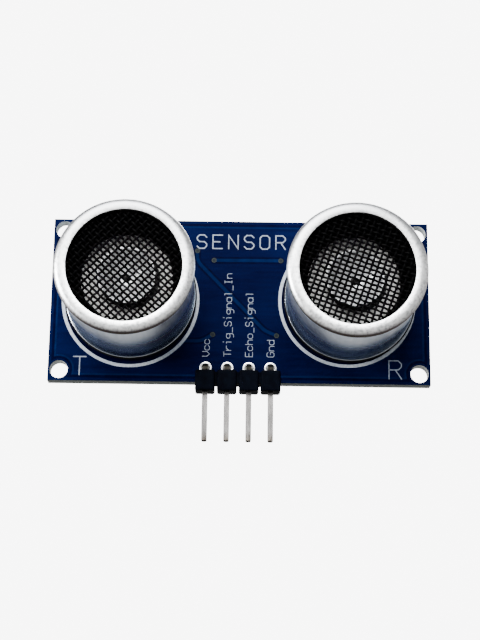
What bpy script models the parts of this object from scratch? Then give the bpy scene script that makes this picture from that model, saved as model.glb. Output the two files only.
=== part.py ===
"""Ultrasonic distance sensor: a small circuit board that carries two open-faced transducers.

The board stands upright over its header pins. The transducers look along -Y, and +X is on the
right of a person who faces them. The origin is the middle of the header housing's underside, where
a socket's face meets it.

Empties carry the local frames, whose x and y lie in the board and whose z points away from it: one
on the front face, one on the back face, and one on the axis of each transducer.
"""

import math

import bmesh
import bpy
from mathutils import Vector

MM = 0.001
GAP = 0.04 * MM  # left between pieces that touch on the real sensor
CUT_MARGIN = 0.5 * MM  # how far a cutter runs past the surface it opens

# Circuit board
BOARD_WIDTH = 45.0 * MM
BOARD_HEIGHT = 20.0 * MM
BOARD_THICKNESS = 1.6 * MM
MOUNTING_HOLE_RADIUS = 1.05 * MM
MOUNTING_HOLE_X = BOARD_WIDTH / 2 - 1.3 * MM
MOUNTING_HOLE_Y = BOARD_HEIGHT / 2 - 1.35 * MM

# Pin header
PITCH = 2.54 * MM
HEADER_PINS = 4
HEADER_CENTRE_X = -0.15 * MM
HEADER_ROW_Y = -BOARD_HEIGHT / 2 + 1.75 * MM
HEADER_HOLE_RADIUS = 0.56 * MM
HOUSING_TOP = HEADER_ROW_Y - 0.75 * MM
HOUSING_SIZE = 2.5 * MM
HOUSING_NOTCH = 0.32 * MM
HOUSING_CHAMFER = 0.22 * MM
PIN_SIZE = 0.64 * MM
PIN_REACH = 5.8 * MM  # below the housing
PIN_BEND_RADIUS = 0.5 * MM  # at the centre line
PIN_TIP_CHAMFER = 0.14 * MM
PIN_TAIL = 1.1 * MM  # behind the board

# Transducers
CAN_SPACING = 26.0 * MM
CAN_CENTRE_Y = 0.4 * MM
CAN_FOOT = 0.5 * MM  # from the board to the can's lower edge
CAN_TOP = 12.3 * MM  # from the board to the rim
CAN_RADIUS = 7.6 * MM
CAN_WALL = 0.45 * MM
RIM_RADIUS = 8.0 * MM
RIM_OPENING_RADIUS = 6.5 * MM
RIM_FLAT_RADIUS = 7.55 * MM
RIM_HEIGHT = 0.95 * MM
RIM_PLATE = 0.4 * MM
BASE_FLANGE_RADIUS = 7.85 * MM
BASE_DEPTH = 2.2 * MM
TERMINAL_PITCH = 10.0 * MM
TERMINAL_RADIUS = 0.35 * MM
TERMINAL_TOP = 3.0 * MM
TERMINAL_TAIL = 0.9 * MM  # behind the board
TERMINAL_HOLE_RADIUS = 0.5 * MM
SCREEN_THICKNESS = 0.3 * MM
SCREEN_PITCH = 2.0 * MM
SCREEN_HOLE = 1.5 * MM
PLATE_RADIUS = 5.3 * MM
PLATE_TOP = CAN_TOP - 5.3 * MM
PLATE_THICKNESS = 0.3 * MM
PIEZO_RADIUS = 4.2 * MM
PIEZO_THICKNESS = 0.35 * MM
PAD_RADIUS = 3.5 * MM
CONE_RADIUS = 3.3 * MM
CONE_HEIGHT = 1.5 * MM
CONE_FOOT_RADIUS = 0.7 * MM
CONE_WALL = 0.15 * MM
WIRE_RADIUS = 0.12 * MM
WIRE_BOW = 0.3 * MM  # how far a lead wire swings aside between its ends
WIRE_REACH = 1.2 * MM  # from a terminal's axis in to the ceramic

# Solder fillets on the back: foot radius, height, and width of the ring round the pin at the top
TERMINAL_FILLET = (1.0 * MM, 0.75 * MM, 0.12 * MM)
HEADER_FILLET = (0.75 * MM, 0.8 * MM, 0.06 * MM)
FILLET_SKIRT = (1.0, 0.12)  # share of the foot radius, and of the height
FILLET_WAIST = (0.72, 0.35)

# Chip, in a sixteen-lead small-outline package
CHIP_CENTRE_Y = 0.35 * MM
CHIP_LENGTH = 9.9 * MM
CHIP_BODY_WIDTH = 3.9 * MM
CHIP_STANDOFF = 0.15 * MM
CHIP_HEIGHT = 1.45 * MM
CHIP_CHAMFER = 0.12 * MM
CHIP_LEADS_PER_SIDE = 8
CHIP_LEAD_PITCH = 1.27 * MM
CHIP_LEAD_SPAN = 6.0 * MM
CHIP_LEAD_WIDTH = 0.42 * MM
CHIP_LEAD_THICKNESS = 0.2 * MM
CHIP_LEAD_FOOT = 0.65 * MM
CHIP_CAVITY = Vector((9.5, 2.4, 0.8)) * MM
CHIP_PADDLE = Vector((9.3, 1.9, 0.2)) * MM
CHIP_DIE = Vector((2.4, 1.5, 0.25)) * MM

# Chip resistors and capacitors, 1.6 mm by 0.8 mm, in two columns on the back
PASSIVE_LENGTH = 1.6 * MM
PASSIVE_WIDTH = 0.8 * MM
RESISTOR_HEIGHT = 0.45 * MM
CAPACITOR_HEIGHT = 0.8 * MM
PASSIVE_CHAMFER = 0.06 * MM
LEFT_COLUMN_X = -7.58 * MM
RIGHT_COLUMN_X = 7.67 * MM
LEFT_COLUMN = {"r6": 3.35, "r5": 1.85, "c2": 0.35, "r4": -1.2, "r3": -2.75}
RIGHT_COLUMN = {"r1": 2.65, "r2": 1.05, "c3": -0.55, "c1": -2.2}

ROUND = 40  # sides of a large turned piece
SMALL_ROUND = 12  # sides of a pin or of a small hole
SMOOTH_ANGLE = math.radians(35)


def clear_scene():
    for item in list(bpy.data.objects):
        bpy.data.objects.remove(item, do_unlink=True)


def look(name, colour, roughness, metallic):
    """The named Principled material, made the first time that it is asked for."""
    found = bpy.data.materials.get(name)
    if found:
        return found
    made = bpy.data.materials.new(name)
    made.use_nodes = True
    shader = made.node_tree.nodes["Principled BSDF"]
    shader.inputs["Base Color"].default_value = (*colour, 1.0)
    shader.inputs["Roughness"].default_value = roughness
    shader.inputs["Metallic"].default_value = metallic
    made.diffuse_color = (*colour, 1.0)
    return made


def frame(name, location, rotation_degrees, parent=None):
    """An empty that carries the pieces placed in one local frame."""
    empty = bpy.data.objects.new(name, None)
    empty.location = location
    empty.rotation_euler = [math.radians(angle) for angle in rotation_degrees]
    empty.parent = parent
    bpy.context.scene.collection.objects.link(empty)
    return empty


def add(name, shape, material, parent, location=(0, 0, 0)):
    """An object made from a bmesh, in its parent's frame."""
    bmesh.ops.recalc_face_normals(shape, faces=shape.faces)
    mesh = bpy.data.meshes.new(name)
    shape.to_mesh(mesh)
    shape.free()
    mesh.shade_smooth()
    mesh.set_sharp_from_angle(angle=SMOOTH_ANGLE)
    item = bpy.data.objects.new(name, mesh)
    if material:
        mesh.materials.append(material)
    item.parent = parent
    item.location = location
    bpy.context.scene.collection.objects.link(item)
    return item


def tool(name, shape, parent, location=(0, 0, 0)):
    """A cutter, which is left out of the sensor."""
    item = add(name, shape, None, parent, location)
    item.hide_render = True
    item.display_type = "WIRE"
    return item


def boolean(item, other, operation):
    modifier = item.modifiers.new(f"{operation.lower()}_{other.name}", "BOOLEAN")
    modifier.operation = operation
    modifier.solver = "EXACT"
    modifier.object = other


def put_box(shape, size, centre):
    """Adds a box to a bmesh."""
    corners = bmesh.ops.create_cube(shape, size=1)["verts"]
    bmesh.ops.scale(shape, vec=size, verts=corners)
    bmesh.ops.translate(shape, vec=centre, verts=corners)


def box(size, centre=(0, 0, 0), chamfer=0.0):
    shape = bmesh.new()
    put_box(shape, size, centre)
    if chamfer:
        bmesh.ops.bevel(shape, geom=shape.edges[:], offset=chamfer, segments=1, affect="EDGES")
    return shape


def put_cylinder(shape, radius, bottom, top, centre_x, centre_y, sides):
    """Adds a cylinder along z to a bmesh."""
    made = bmesh.ops.create_cone(
        shape, cap_ends=True, segments=sides, radius1=radius, radius2=radius, depth=top - bottom
    )
    middle = (centre_x, centre_y, (top + bottom) / 2)
    bmesh.ops.translate(shape, vec=middle, verts=made["verts"])


def turned(profile, sides, closed):
    """A profile of (radius, height) points spun about z. An open profile starts and ends on the axis."""
    shape = bmesh.new()
    verts = [shape.verts.new((radius, 0, height)) for radius, height in profile]
    followers = verts[1:] + (verts[:1] if closed else [])
    edges = [shape.edges.new(pair) for pair in zip(verts, followers)]
    bmesh.ops.spin(
        shape,
        geom=verts + edges,
        cent=(0, 0, 0),
        axis=(0, 0, 1),
        angle=2 * math.pi,
        steps=sides,
        use_merge=True,
        use_duplicate=False,
    )
    bmesh.ops.remove_doubles(shape, verts=shape.verts[:], dist=MM * 1e-4)
    return shape


def arc(centre, radius, start_degrees, end_degrees, steps):
    """Points on an arc, both ends included."""
    points = []
    for step in range(steps + 1):
        angle = math.radians(start_degrees + (end_degrees - start_degrees) * step / steps)
        points.append((centre[0] + radius * math.cos(angle), centre[1] + radius * math.sin(angle)))
    return points


def rounded_path(corners, radius, steps):
    """A polyline whose inner corners are replaced by arcs of one radius."""
    path = [Vector(corners[0])]
    for before, corner, after in zip(corners, corners[1:], corners[2:]):
        corner = Vector(corner)
        back = (Vector(before) - corner).normalized()
        ahead = (Vector(after) - corner).normalized()
        half_angle = back.angle(ahead) / 2
        reach = radius / math.tan(half_angle)
        middle = corner + (back + ahead).normalized() * (radius / math.sin(half_angle))
        first = (corner + back * reach - middle).normalized()
        last = (corner + ahead * reach - middle).normalized()
        for step in range(steps + 1):
            path.append(middle + first.slerp(last, step / steps) * radius)
    path.append(Vector(corners[-1]))
    return path


def strip(corners, thickness, width, radius, steps):
    """A flat strip bent in its yz plane. Its corners lie on its centre line, and its width runs along x."""
    path = rounded_path(corners, radius, steps)
    sides = ([], [])
    for index, point in enumerate(path):
        ahead = path[min(index + 1, len(path) - 1)] - path[max(index - 1, 0)]
        across = Vector((-ahead.y, ahead.x)).normalized() * thickness / 2
        sides[0].append(point + across)
        sides[1].append(point - across)
    outline = sides[0] + sides[1][::-1]
    shape = bmesh.new()
    verts = [shape.verts.new((-width / 2, point.x, point.y)) for point in outline]
    face = shape.faces.new(verts)
    grown = bmesh.ops.extrude_face_region(shape, geom=[face])["geom"]
    moved = [part for part in grown if isinstance(part, bmesh.types.BMVert)]
    bmesh.ops.translate(shape, vec=(width, 0, 0), verts=moved)
    return shape


def merge(shape, other, offset):
    """Adds a moved copy of one bmesh to another."""
    mesh = bpy.data.meshes.new("carrier")
    other.to_mesh(mesh)
    before = len(shape.verts)
    shape.from_mesh(mesh)
    shape.verts.ensure_lookup_table()
    bmesh.ops.translate(shape, vec=offset, verts=shape.verts[before:])
    bpy.data.meshes.remove(mesh)


def header_xs():
    first = HEADER_CENTRE_X - PITCH * (HEADER_PINS - 1) / 2
    return [first + PITCH * index for index in range(HEADER_PINS)]


def make_board(front):
    """The laminate, with its mounting holes, header holes and terminal holes."""
    navy = look("navy_solder_mask", (0.005, 0.02, 0.11), 0.35, 0.0)
    size = (BOARD_WIDTH, BOARD_HEIGHT, BOARD_THICKNESS)
    board = add("circuit_board", box(size, (0, 0, -BOARD_THICKNESS / 2)), navy, front)
    holes = bmesh.new()
    low = -BOARD_THICKNESS - CUT_MARGIN
    high = CUT_MARGIN
    for x in (-MOUNTING_HOLE_X, MOUNTING_HOLE_X):
        for y in (-MOUNTING_HOLE_Y, MOUNTING_HOLE_Y):
            put_cylinder(holes, MOUNTING_HOLE_RADIUS, low, high, x, y, 2 * SMALL_ROUND)
    for x in header_xs():
        put_cylinder(holes, HEADER_HOLE_RADIUS, low, high, x, HEADER_ROW_Y, SMALL_ROUND)
    for x in (-CAN_SPACING / 2, CAN_SPACING / 2):
        for y in (-TERMINAL_PITCH / 2, TERMINAL_PITCH / 2):
            middle = CAN_CENTRE_Y + y
            put_cylinder(holes, TERMINAL_HOLE_RADIUS, low, high, x, middle, SMALL_ROUND)
    boolean(board, tool("board_holes", holes, front), "DIFFERENCE")


def can_profile():
    """The can's wall as one closed profile: rounded rim, side, lower edge and inside."""
    inner = CAN_RADIUS - CAN_WALL
    corner = RIM_RADIUS - RIM_FLAT_RADIUS
    rim_round = arc((RIM_FLAT_RADIUS, CAN_TOP - corner), corner, 90, 0, 4)
    return [
        (RIM_OPENING_RADIUS, CAN_TOP),
        *rim_round,
        (RIM_RADIUS, CAN_TOP - RIM_HEIGHT + CAN_WALL / 4),
        (RIM_RADIUS - CAN_WALL / 4, CAN_TOP - RIM_HEIGHT),
        (CAN_RADIUS, CAN_TOP - RIM_HEIGHT),
        (CAN_RADIUS, CAN_FOOT),
        (inner, CAN_FOOT),
        (inner, CAN_TOP - RIM_PLATE),
        (RIM_OPENING_RADIUS, CAN_TOP - RIM_PLATE),
    ]


def base_profile():
    """A plug inside the can, on a flange that the can's lower edge stands on."""
    plug = CAN_RADIUS - CAN_WALL - GAP
    return [
        (0, GAP),
        (BASE_FLANGE_RADIUS, GAP),
        (BASE_FLANGE_RADIUS, CAN_FOOT - GAP),
        (plug, CAN_FOOT - GAP),
        (plug, BASE_DEPTH),
        (0, BASE_DEPTH),
    ]


def cone_profile():
    """A thin open cone that stands on a small foot."""
    slope = math.atan2(CONE_HEIGHT, CONE_RADIUS - CONE_FOOT_RADIUS)
    step_out = CONE_WALL / math.sin(slope)
    bottom = PLATE_TOP + GAP
    return [
        (0, bottom),
        (CONE_FOOT_RADIUS, bottom),
        (CONE_RADIUS, bottom + CONE_HEIGHT),
        (CONE_RADIUS - step_out, bottom + CONE_HEIGHT),
        (CONE_FOOT_RADIUS - CONE_WALL / 2, bottom + CONE_WALL),
        (0, bottom + CONE_WALL),
    ]


def disc_profile(radius, bottom, top):
    return [(0, bottom), (radius, bottom), (radius, top), (0, top)]


def terminal_profile():
    bottom = -BOARD_THICKNESS - TERMINAL_TAIL
    chamfer = TERMINAL_RADIUS / 3
    return [
        (0, bottom),
        (TERMINAL_RADIUS - chamfer, bottom),
        (TERMINAL_RADIUS, bottom + chamfer),
        (TERMINAL_RADIUS, TERMINAL_TOP),
        (0, TERMINAL_TOP),
    ]


def solder_profile(hole_radius, bore_radius, fillet):
    """Solder in a plated hole and its fillet on the back. The bore takes the pin."""
    foot_radius, height, crown = fillet
    back = -BOARD_THICKNESS - GAP
    fill = hole_radius - GAP
    slope = [(foot_radius * out, back - height * up) for out, up in (FILLET_SKIRT, FILLET_WAIST)]
    return [
        (bore_radius, -GAP),
        (fill, -GAP),
        (fill, back),
        (foot_radius, back),
        *slope,
        (bore_radius + crown, back - height),
        (bore_radius, back - height),
    ]


def make_screen(prefix, axis):
    """The protective screen behind the rim, as a plate with square openings."""
    black = look("black_screen", (0.01, 0.01, 0.012), 0.5, 0.6)
    top = CAN_TOP - RIM_PLATE - GAP
    radius = CAN_RADIUS - CAN_WALL - GAP
    profile = disc_profile(radius, top - SCREEN_THICKNESS, top)
    screen = add(f"{prefix}_screen", turned(profile, ROUND, closed=False), black, axis)
    openings = bmesh.new()
    reach = int(RIM_OPENING_RADIUS / SCREEN_PITCH)
    height = SCREEN_THICKNESS + 2 * CUT_MARGIN
    for column in range(-reach, reach + 1):
        for row in range(-reach, reach + 1):
            centre = Vector((column * SCREEN_PITCH, row * SCREEN_PITCH, top - SCREEN_THICKNESS / 2))
            if centre.xy.length + SCREEN_HOLE / 2 < RIM_OPENING_RADIUS:
                put_box(openings, (SCREEN_HOLE, SCREEN_HOLE, height), centre)
    boolean(screen, tool(f"{prefix}_screen_openings", openings, axis), "DIFFERENCE")


def make_base(prefix, axis):
    """The moulded base, with a hole for each terminal."""
    black = look("black_base", (0.012, 0.012, 0.013), 0.55, 0.0)
    base = add(f"{prefix}_base", turned(base_profile(), ROUND, closed=False), black, axis)
    holes = bmesh.new()
    for side in (-1, 1):
        put_cylinder(
            holes,
            TERMINAL_RADIUS + GAP,
            -CUT_MARGIN,
            BASE_DEPTH + CUT_MARGIN,
            0,
            side * TERMINAL_PITCH / 2,
            SMALL_ROUND,
        )
    boolean(base, tool(f"{prefix}_base_holes", holes, axis), "DIFFERENCE")


def make_terminals(prefix, axis):
    """The two terminals with the solder that holds them in the board."""
    tinned = look("tinned_steel", (0.62, 0.6, 0.57), 0.35, 1.0)
    solder = look("solder", (0.72, 0.72, 0.7), 0.3, 1.0)
    joint = solder_profile(TERMINAL_HOLE_RADIUS, TERMINAL_RADIUS + GAP, TERMINAL_FILLET)
    for letter, side in (("a", 1), ("b", -1)):
        place = (0, side * TERMINAL_PITCH / 2, 0)
        pin = turned(terminal_profile(), SMALL_ROUND, closed=False)
        add(f"{prefix}_terminal_{letter}", pin, tinned, axis, place)
        add(f"{prefix}_solder_{letter}", turned(joint, SMALL_ROUND, closed=True), solder, axis, place)


def make_lead_wire(name, axis, points):
    """A soft insulated wire from a terminal to the vibrating element, as a bevelled curve."""
    curve = bpy.data.curves.new(name, "CURVE")
    curve.dimensions = "3D"
    curve.bevel_depth = WIRE_RADIUS
    curve.bevel_resolution = 1
    curve.resolution_u = 4
    curve.use_fill_caps = True
    spline = curve.splines.new("BEZIER")
    spline.bezier_points.add(len(points) - 1)
    for knot, point in zip(spline.bezier_points, points):
        knot.co = point
        knot.handle_left_type = "AUTO"
        knot.handle_right_type = "AUTO"
    curve.materials.append(look("white_insulation", (0.75, 0.74, 0.7), 0.6, 0.0))
    wire = bpy.data.objects.new(name, curve)
    wire.parent = axis
    bpy.context.scene.collection.objects.link(wire)


def make_lead_wires(prefix, axis):
    """Wire a reaches the metal plate and wire b the ceramic behind it."""
    terminal = TERMINAL_PITCH / 2
    start = TERMINAL_TOP + WIRE_RADIUS
    plate_back = PLATE_TOP - PLATE_THICKNESS - GAP
    piezo_back = plate_back - PIEZO_THICKNESS - GAP
    middle = (start + plate_back) / 2
    to_plate = [
        (0, terminal, start),
        (WIRE_BOW, terminal, middle),
        (0, terminal - WIRE_BOW, plate_back),
    ]
    to_piezo = [
        (0, -terminal, start),
        (-WIRE_BOW, -terminal, middle),
        (0, WIRE_REACH - terminal, piezo_back),
    ]
    make_lead_wire(f"{prefix}_lead_wire_a", axis, to_plate)
    make_lead_wire(f"{prefix}_lead_wire_b", axis, to_piezo)


def make_transducer(prefix, side, front):
    """One transducer: its can, screen, vibrating stack, base, wires and terminals."""
    axis = frame(f"{prefix}_axis", (side * CAN_SPACING / 2, CAN_CENTRE_Y, 0), (0, 0, 0), front)
    aluminium = look("aluminium", (0.78, 0.79, 0.8), 0.3, 1.0)
    brass = look("plated_brass", (0.75, 0.73, 0.68), 0.3, 1.0)
    ceramic = look("piezo_ceramic", (0.62, 0.6, 0.5), 0.6, 0.0)
    silicone = look("silicone", (0.55, 0.56, 0.55), 0.7, 0.0)
    plate_back = PLATE_TOP - PLATE_THICKNESS
    piezo_top = plate_back - GAP
    piezo_back = piezo_top - PIEZO_THICKNESS
    plate = disc_profile(PLATE_RADIUS, plate_back, PLATE_TOP)
    piezo = disc_profile(PIEZO_RADIUS, piezo_back, piezo_top)
    pad = disc_profile(PAD_RADIUS, BASE_DEPTH + GAP, piezo_back - GAP)
    add(f"{prefix}_can", turned(can_profile(), ROUND, closed=True), aluminium, axis)
    make_screen(prefix, axis)
    add(f"{prefix}_cone", turned(cone_profile(), ROUND, closed=False), aluminium, axis)
    add(f"{prefix}_vibrator_plate", turned(plate, ROUND, closed=False), brass, axis)
    add(f"{prefix}_piezo_disc", turned(piezo, ROUND, closed=False), ceramic, axis)
    add(f"{prefix}_damping_pad", turned(pad, ROUND, closed=False), silicone, axis)
    make_base(prefix, axis)
    make_terminals(prefix, axis)
    make_lead_wires(prefix, axis)


def housing_outline():
    """The header housing's section: a row of blocks with a notch between neighbours, front and back."""
    near = GAP
    far = near + HOUSING_SIZE
    first = HEADER_CENTRE_X - PITCH * HEADER_PINS / 2
    lower = [(first, near + HOUSING_NOTCH)]
    for index in range(HEADER_PINS):
        left = first + PITCH * index
        lower.append((left + HOUSING_NOTCH, near))
        lower.append((left + PITCH - HOUSING_NOTCH, near))
        lower.append((left + PITCH, near + HOUSING_NOTCH))
    upper = [(x, far + near - z) for x, z in reversed(lower)]
    return lower + upper


def make_housing(front):
    """The black strip that holds the pins."""
    black = look("black_header_plastic", (0.012, 0.012, 0.014), 0.5, 0.0)
    shape = bmesh.new()
    face = shape.faces.new([shape.verts.new((x, HOUSING_TOP, z)) for x, z in housing_outline()])
    grown = bmesh.ops.extrude_face_region(shape, geom=[face])["geom"]
    moved = [part for part in grown if isinstance(part, bmesh.types.BMVert)]
    bmesh.ops.translate(shape, vec=(0, -HOUSING_SIZE, 0), verts=moved)
    ends = [edge for edge in shape.edges if abs(edge.verts[0].co.y - edge.verts[1].co.y) < GAP]
    bmesh.ops.bevel(shape, geom=ends, offset=HOUSING_CHAMFER, segments=1, affect="EDGES")
    housing = add("header_housing", shape, black, front)
    holes = bmesh.new()
    side = PIN_SIZE + 2 * GAP
    size = (side, HOUSING_SIZE + 2 * CUT_MARGIN, side)
    for x in header_xs():
        put_box(holes, size, (x, HOUSING_TOP - HOUSING_SIZE / 2, HOUSING_SIZE / 2))
    boolean(housing, tool("housing_holes", holes, front), "DIFFERENCE")


def header_pin():
    """A square pin bent at a right angle, with tapered ends."""
    middle = HOUSING_SIZE / 2
    tip = HOUSING_TOP - HOUSING_SIZE - PIN_REACH
    corners = [(tip, middle), (HEADER_ROW_Y, middle), (HEADER_ROW_Y, -BOARD_THICKNESS - PIN_TAIL)]
    shape = strip(corners, PIN_SIZE, PIN_SIZE, PIN_BEND_RADIUS, steps=4)
    ends = []
    for edge in shape.edges:
        low, high = sorted(edge.verts, key=lambda vert: vert.co.y)
        at_tip = high.co.y < tip + GAP
        at_tail = max(low.co.z, high.co.z) < -BOARD_THICKNESS - PIN_TAIL + GAP
        if at_tip or at_tail:
            ends.append(edge)
    bmesh.ops.bevel(shape, geom=ends, offset=PIN_TIP_CHAMFER, segments=1, affect="EDGES")
    return shape


def make_header(front):
    """The pin header, soldered from behind."""
    make_housing(front)
    plated = look("plated_pin", (0.7, 0.69, 0.66), 0.3, 1.0)
    solder = look("solder", (0.72, 0.72, 0.7), 0.3, 1.0)
    bore = PIN_SIZE / 2 * math.sqrt(2) + GAP / 2
    joint = solder_profile(HEADER_HOLE_RADIUS, bore, HEADER_FILLET)
    for number, x in enumerate(header_xs(), start=1):
        add(f"header_pin_{number}", header_pin(), plated, front, (x, 0, 0))
        fillet = turned(joint, SMALL_ROUND, closed=True)
        add(f"header_solder_{number}", fillet, solder, front, (x, HEADER_ROW_Y, 0))


def lead_xs():
    first = -CHIP_LEAD_PITCH * (CHIP_LEADS_PER_SIDE - 1) / 2
    return [first + CHIP_LEAD_PITCH * index for index in range(CHIP_LEADS_PER_SIDE)]


def chip_middle():
    return CHIP_STANDOFF + CHIP_HEIGHT / 2


def lead_shape():
    """One gull-wing lead, from the paddle to its foot on the board."""
    half = CHIP_LEAD_THICKNESS / 2
    foot = GAP + half
    bend = CHIP_LEAD_SPAN / 2 - CHIP_LEAD_FOOT
    corners = [
        (CHIP_PADDLE.y / 2 - CHIP_LEAD_THICKNESS, chip_middle()),
        (bend - CHIP_LEAD_THICKNESS, chip_middle()),
        (bend, foot),
        (CHIP_LEAD_SPAN / 2, foot),
    ]
    return strip(corners, CHIP_LEAD_THICKNESS, CHIP_LEAD_WIDTH, CHIP_LEAD_THICKNESS, steps=2)


def make_lead_frame(chip):
    """The paddle and the sixteen leads, as one stamped piece."""
    tinned = look("tinned_lead", (0.75, 0.75, 0.73), 0.3, 1.0)
    frame_plate = add("chip_lead_frame", box(CHIP_PADDLE, (0, 0, chip_middle())), tinned, chip)
    leads = bmesh.new()
    lead = lead_shape()
    for x in lead_xs():
        merge(leads, lead, (x, 0, 0))
    lead.free()
    one_side = leads.verts[:] + leads.edges[:] + leads.faces[:]
    other = bmesh.ops.duplicate(leads, geom=one_side)["geom"]
    turned_round = [part for part in other if isinstance(part, bmesh.types.BMVert)]
    bmesh.ops.scale(leads, vec=(-1, -1, 1), verts=turned_round)
    boolean(frame_plate, tool("chip_leads", leads, chip), "UNION")


def make_chip_body(chip):
    """The moulded body, hollow where the frame and the die lie and slotted where the leads leave."""
    epoxy = look("chip_epoxy", (0.012, 0.013, 0.015), 0.55, 0.0)
    size = Vector((CHIP_LENGTH, CHIP_BODY_WIDTH, CHIP_HEIGHT))
    body = add("chip_body", box(size, (0, 0, chip_middle()), CHIP_CHAMFER), epoxy, chip)
    cavity = tool("chip_cavity", box(CHIP_CAVITY, (0, 0, chip_middle())), chip)
    slots = bmesh.new()
    width = CHIP_LEAD_WIDTH + 2 * GAP
    height = CHIP_LEAD_THICKNESS + 2 * GAP
    for x in lead_xs():
        put_box(slots, (width, CHIP_BODY_WIDTH + 2 * CUT_MARGIN, height), (x, 0, chip_middle()))
    boolean(body, tool("chip_slots", slots, chip), "DIFFERENCE")
    boolean(body, cavity, "DIFFERENCE")


def make_chip(back):
    chip = frame("chip_frame", (0, CHIP_CENTRE_Y, 0), (0, 0, 0), back)
    make_chip_body(chip)
    make_lead_frame(chip)
    silicon = look("silicon_die", (0.12, 0.12, 0.14), 0.2, 0.6)
    height = chip_middle() + CHIP_PADDLE.z / 2 + GAP + CHIP_DIE.z / 2
    add("chip_die", box(CHIP_DIE, (0, 0, height)), silicon, chip)


def make_passives(back):
    """The resistors and capacitors, lying along x."""
    dark = look("resistor_glaze", (0.02, 0.02, 0.022), 0.35, 0.0)
    tan = look("capacitor_ceramic", (0.42, 0.3, 0.2), 0.5, 0.0)
    for column_x, column in ((LEFT_COLUMN_X, LEFT_COLUMN), (RIGHT_COLUMN_X, RIGHT_COLUMN)):
        for label, y in column.items():
            resistor = label.startswith("r")
            height = RESISTOR_HEIGHT if resistor else CAPACITOR_HEIGHT
            size = (PASSIVE_LENGTH, PASSIVE_WIDTH, height)
            shape = box(size, (0, 0, GAP + height / 2), PASSIVE_CHAMFER)
            name = f"resistor_{label}" if resistor else f"capacitor_{label}"
            add(name, shape, dark if resistor else tan, back, (column_x, y * MM, 0))


def main():
    clear_scene()
    middle = Vector((-HEADER_CENTRE_X, GAP + HOUSING_SIZE / 2, HOUSING_SIZE - HOUSING_TOP))
    front = frame("front_face", middle, (90, 0, 0))
    back = frame("back_face", (0, 0, -BOARD_THICKNESS), (0, 180, 0), front)
    make_board(front)
    make_transducer("transmitter", -1, front)
    make_transducer("receiver", 1, front)
    make_header(front)
    make_chip(back)
    make_passives(back)


main()
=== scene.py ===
"""Looks of the ultrasonic distance sensor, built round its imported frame.

Pieces are modelled in local frames whose x and y lie in the board and whose z points away from it:
FRONT on the board's front face, BACK on its back face, and one on the axis of each transducer.
"""

import math
import random

import bmesh
import bpy
from mathutils import Matrix, Vector, noise


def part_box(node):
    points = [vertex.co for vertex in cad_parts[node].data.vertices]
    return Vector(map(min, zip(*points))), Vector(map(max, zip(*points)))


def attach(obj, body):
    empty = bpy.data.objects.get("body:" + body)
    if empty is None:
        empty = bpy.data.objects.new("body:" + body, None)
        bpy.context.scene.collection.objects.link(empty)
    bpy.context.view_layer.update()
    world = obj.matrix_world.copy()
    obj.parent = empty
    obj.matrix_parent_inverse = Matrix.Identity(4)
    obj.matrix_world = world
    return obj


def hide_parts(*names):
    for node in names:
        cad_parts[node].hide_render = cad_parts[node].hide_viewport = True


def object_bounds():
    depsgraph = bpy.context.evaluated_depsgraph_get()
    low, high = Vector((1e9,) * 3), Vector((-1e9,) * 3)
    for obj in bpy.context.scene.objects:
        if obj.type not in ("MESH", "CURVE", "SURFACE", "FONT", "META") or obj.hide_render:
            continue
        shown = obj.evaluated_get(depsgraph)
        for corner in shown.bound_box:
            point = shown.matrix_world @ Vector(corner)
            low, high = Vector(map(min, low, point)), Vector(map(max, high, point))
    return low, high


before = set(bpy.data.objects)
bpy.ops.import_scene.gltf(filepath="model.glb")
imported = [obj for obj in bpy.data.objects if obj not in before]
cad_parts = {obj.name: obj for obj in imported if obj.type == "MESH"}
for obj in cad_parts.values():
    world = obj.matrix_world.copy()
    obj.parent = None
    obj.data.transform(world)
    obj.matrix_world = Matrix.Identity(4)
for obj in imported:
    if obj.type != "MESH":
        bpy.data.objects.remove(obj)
cad_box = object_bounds()

MM = 0.001
MICRON = 0.000001

# Local frames
board_low, board_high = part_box("circuit_board")
MIDDLE = (board_low + board_high) / 2
UPRIGHT = Matrix.Rotation(math.radians(90), 4, "X")
HALF_TURN = Matrix.Rotation(math.radians(180), 4, "Z")
FRONT = Matrix.Translation((MIDDLE.x, board_low.y, MIDDLE.z)) @ UPRIGHT
BACK = Matrix.Translation((MIDDLE.x, board_high.y, MIDDLE.z)) @ HALF_TURN @ UPRIGHT


def local_box(node, place=FRONT):
    """A CAD node's lowest and highest corners in a local frame."""
    corners = [place.inverted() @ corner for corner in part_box(node)]
    return Vector(map(min, *corners)), Vector(map(max, *corners))


def local_middle(node, place=FRONT):
    low, high = local_box(node, place)
    return (low + high) / 2


def width_of(node):
    low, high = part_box(node)
    return high.x - low.x


# Board
BOARD_WIDTH = board_high.x - board_low.x
BOARD_HEIGHT = board_high.z - board_low.z
BOARD_THICKNESS = board_high.y - board_low.y
BOARD_EDGE_ROUND = 0.05 * MM
MOUNTING_HOLE_RADIUS = 1.05 * MM
MOUNTING_HOLE_X = BOARD_WIDTH / 2 - 1.3 * MM
MOUNTING_HOLE_Y = BOARD_HEIGHT / 2 - 1.35 * MM
POUR_MARGIN = 0.55 * MM  # from the board's edge to the copper

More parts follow.
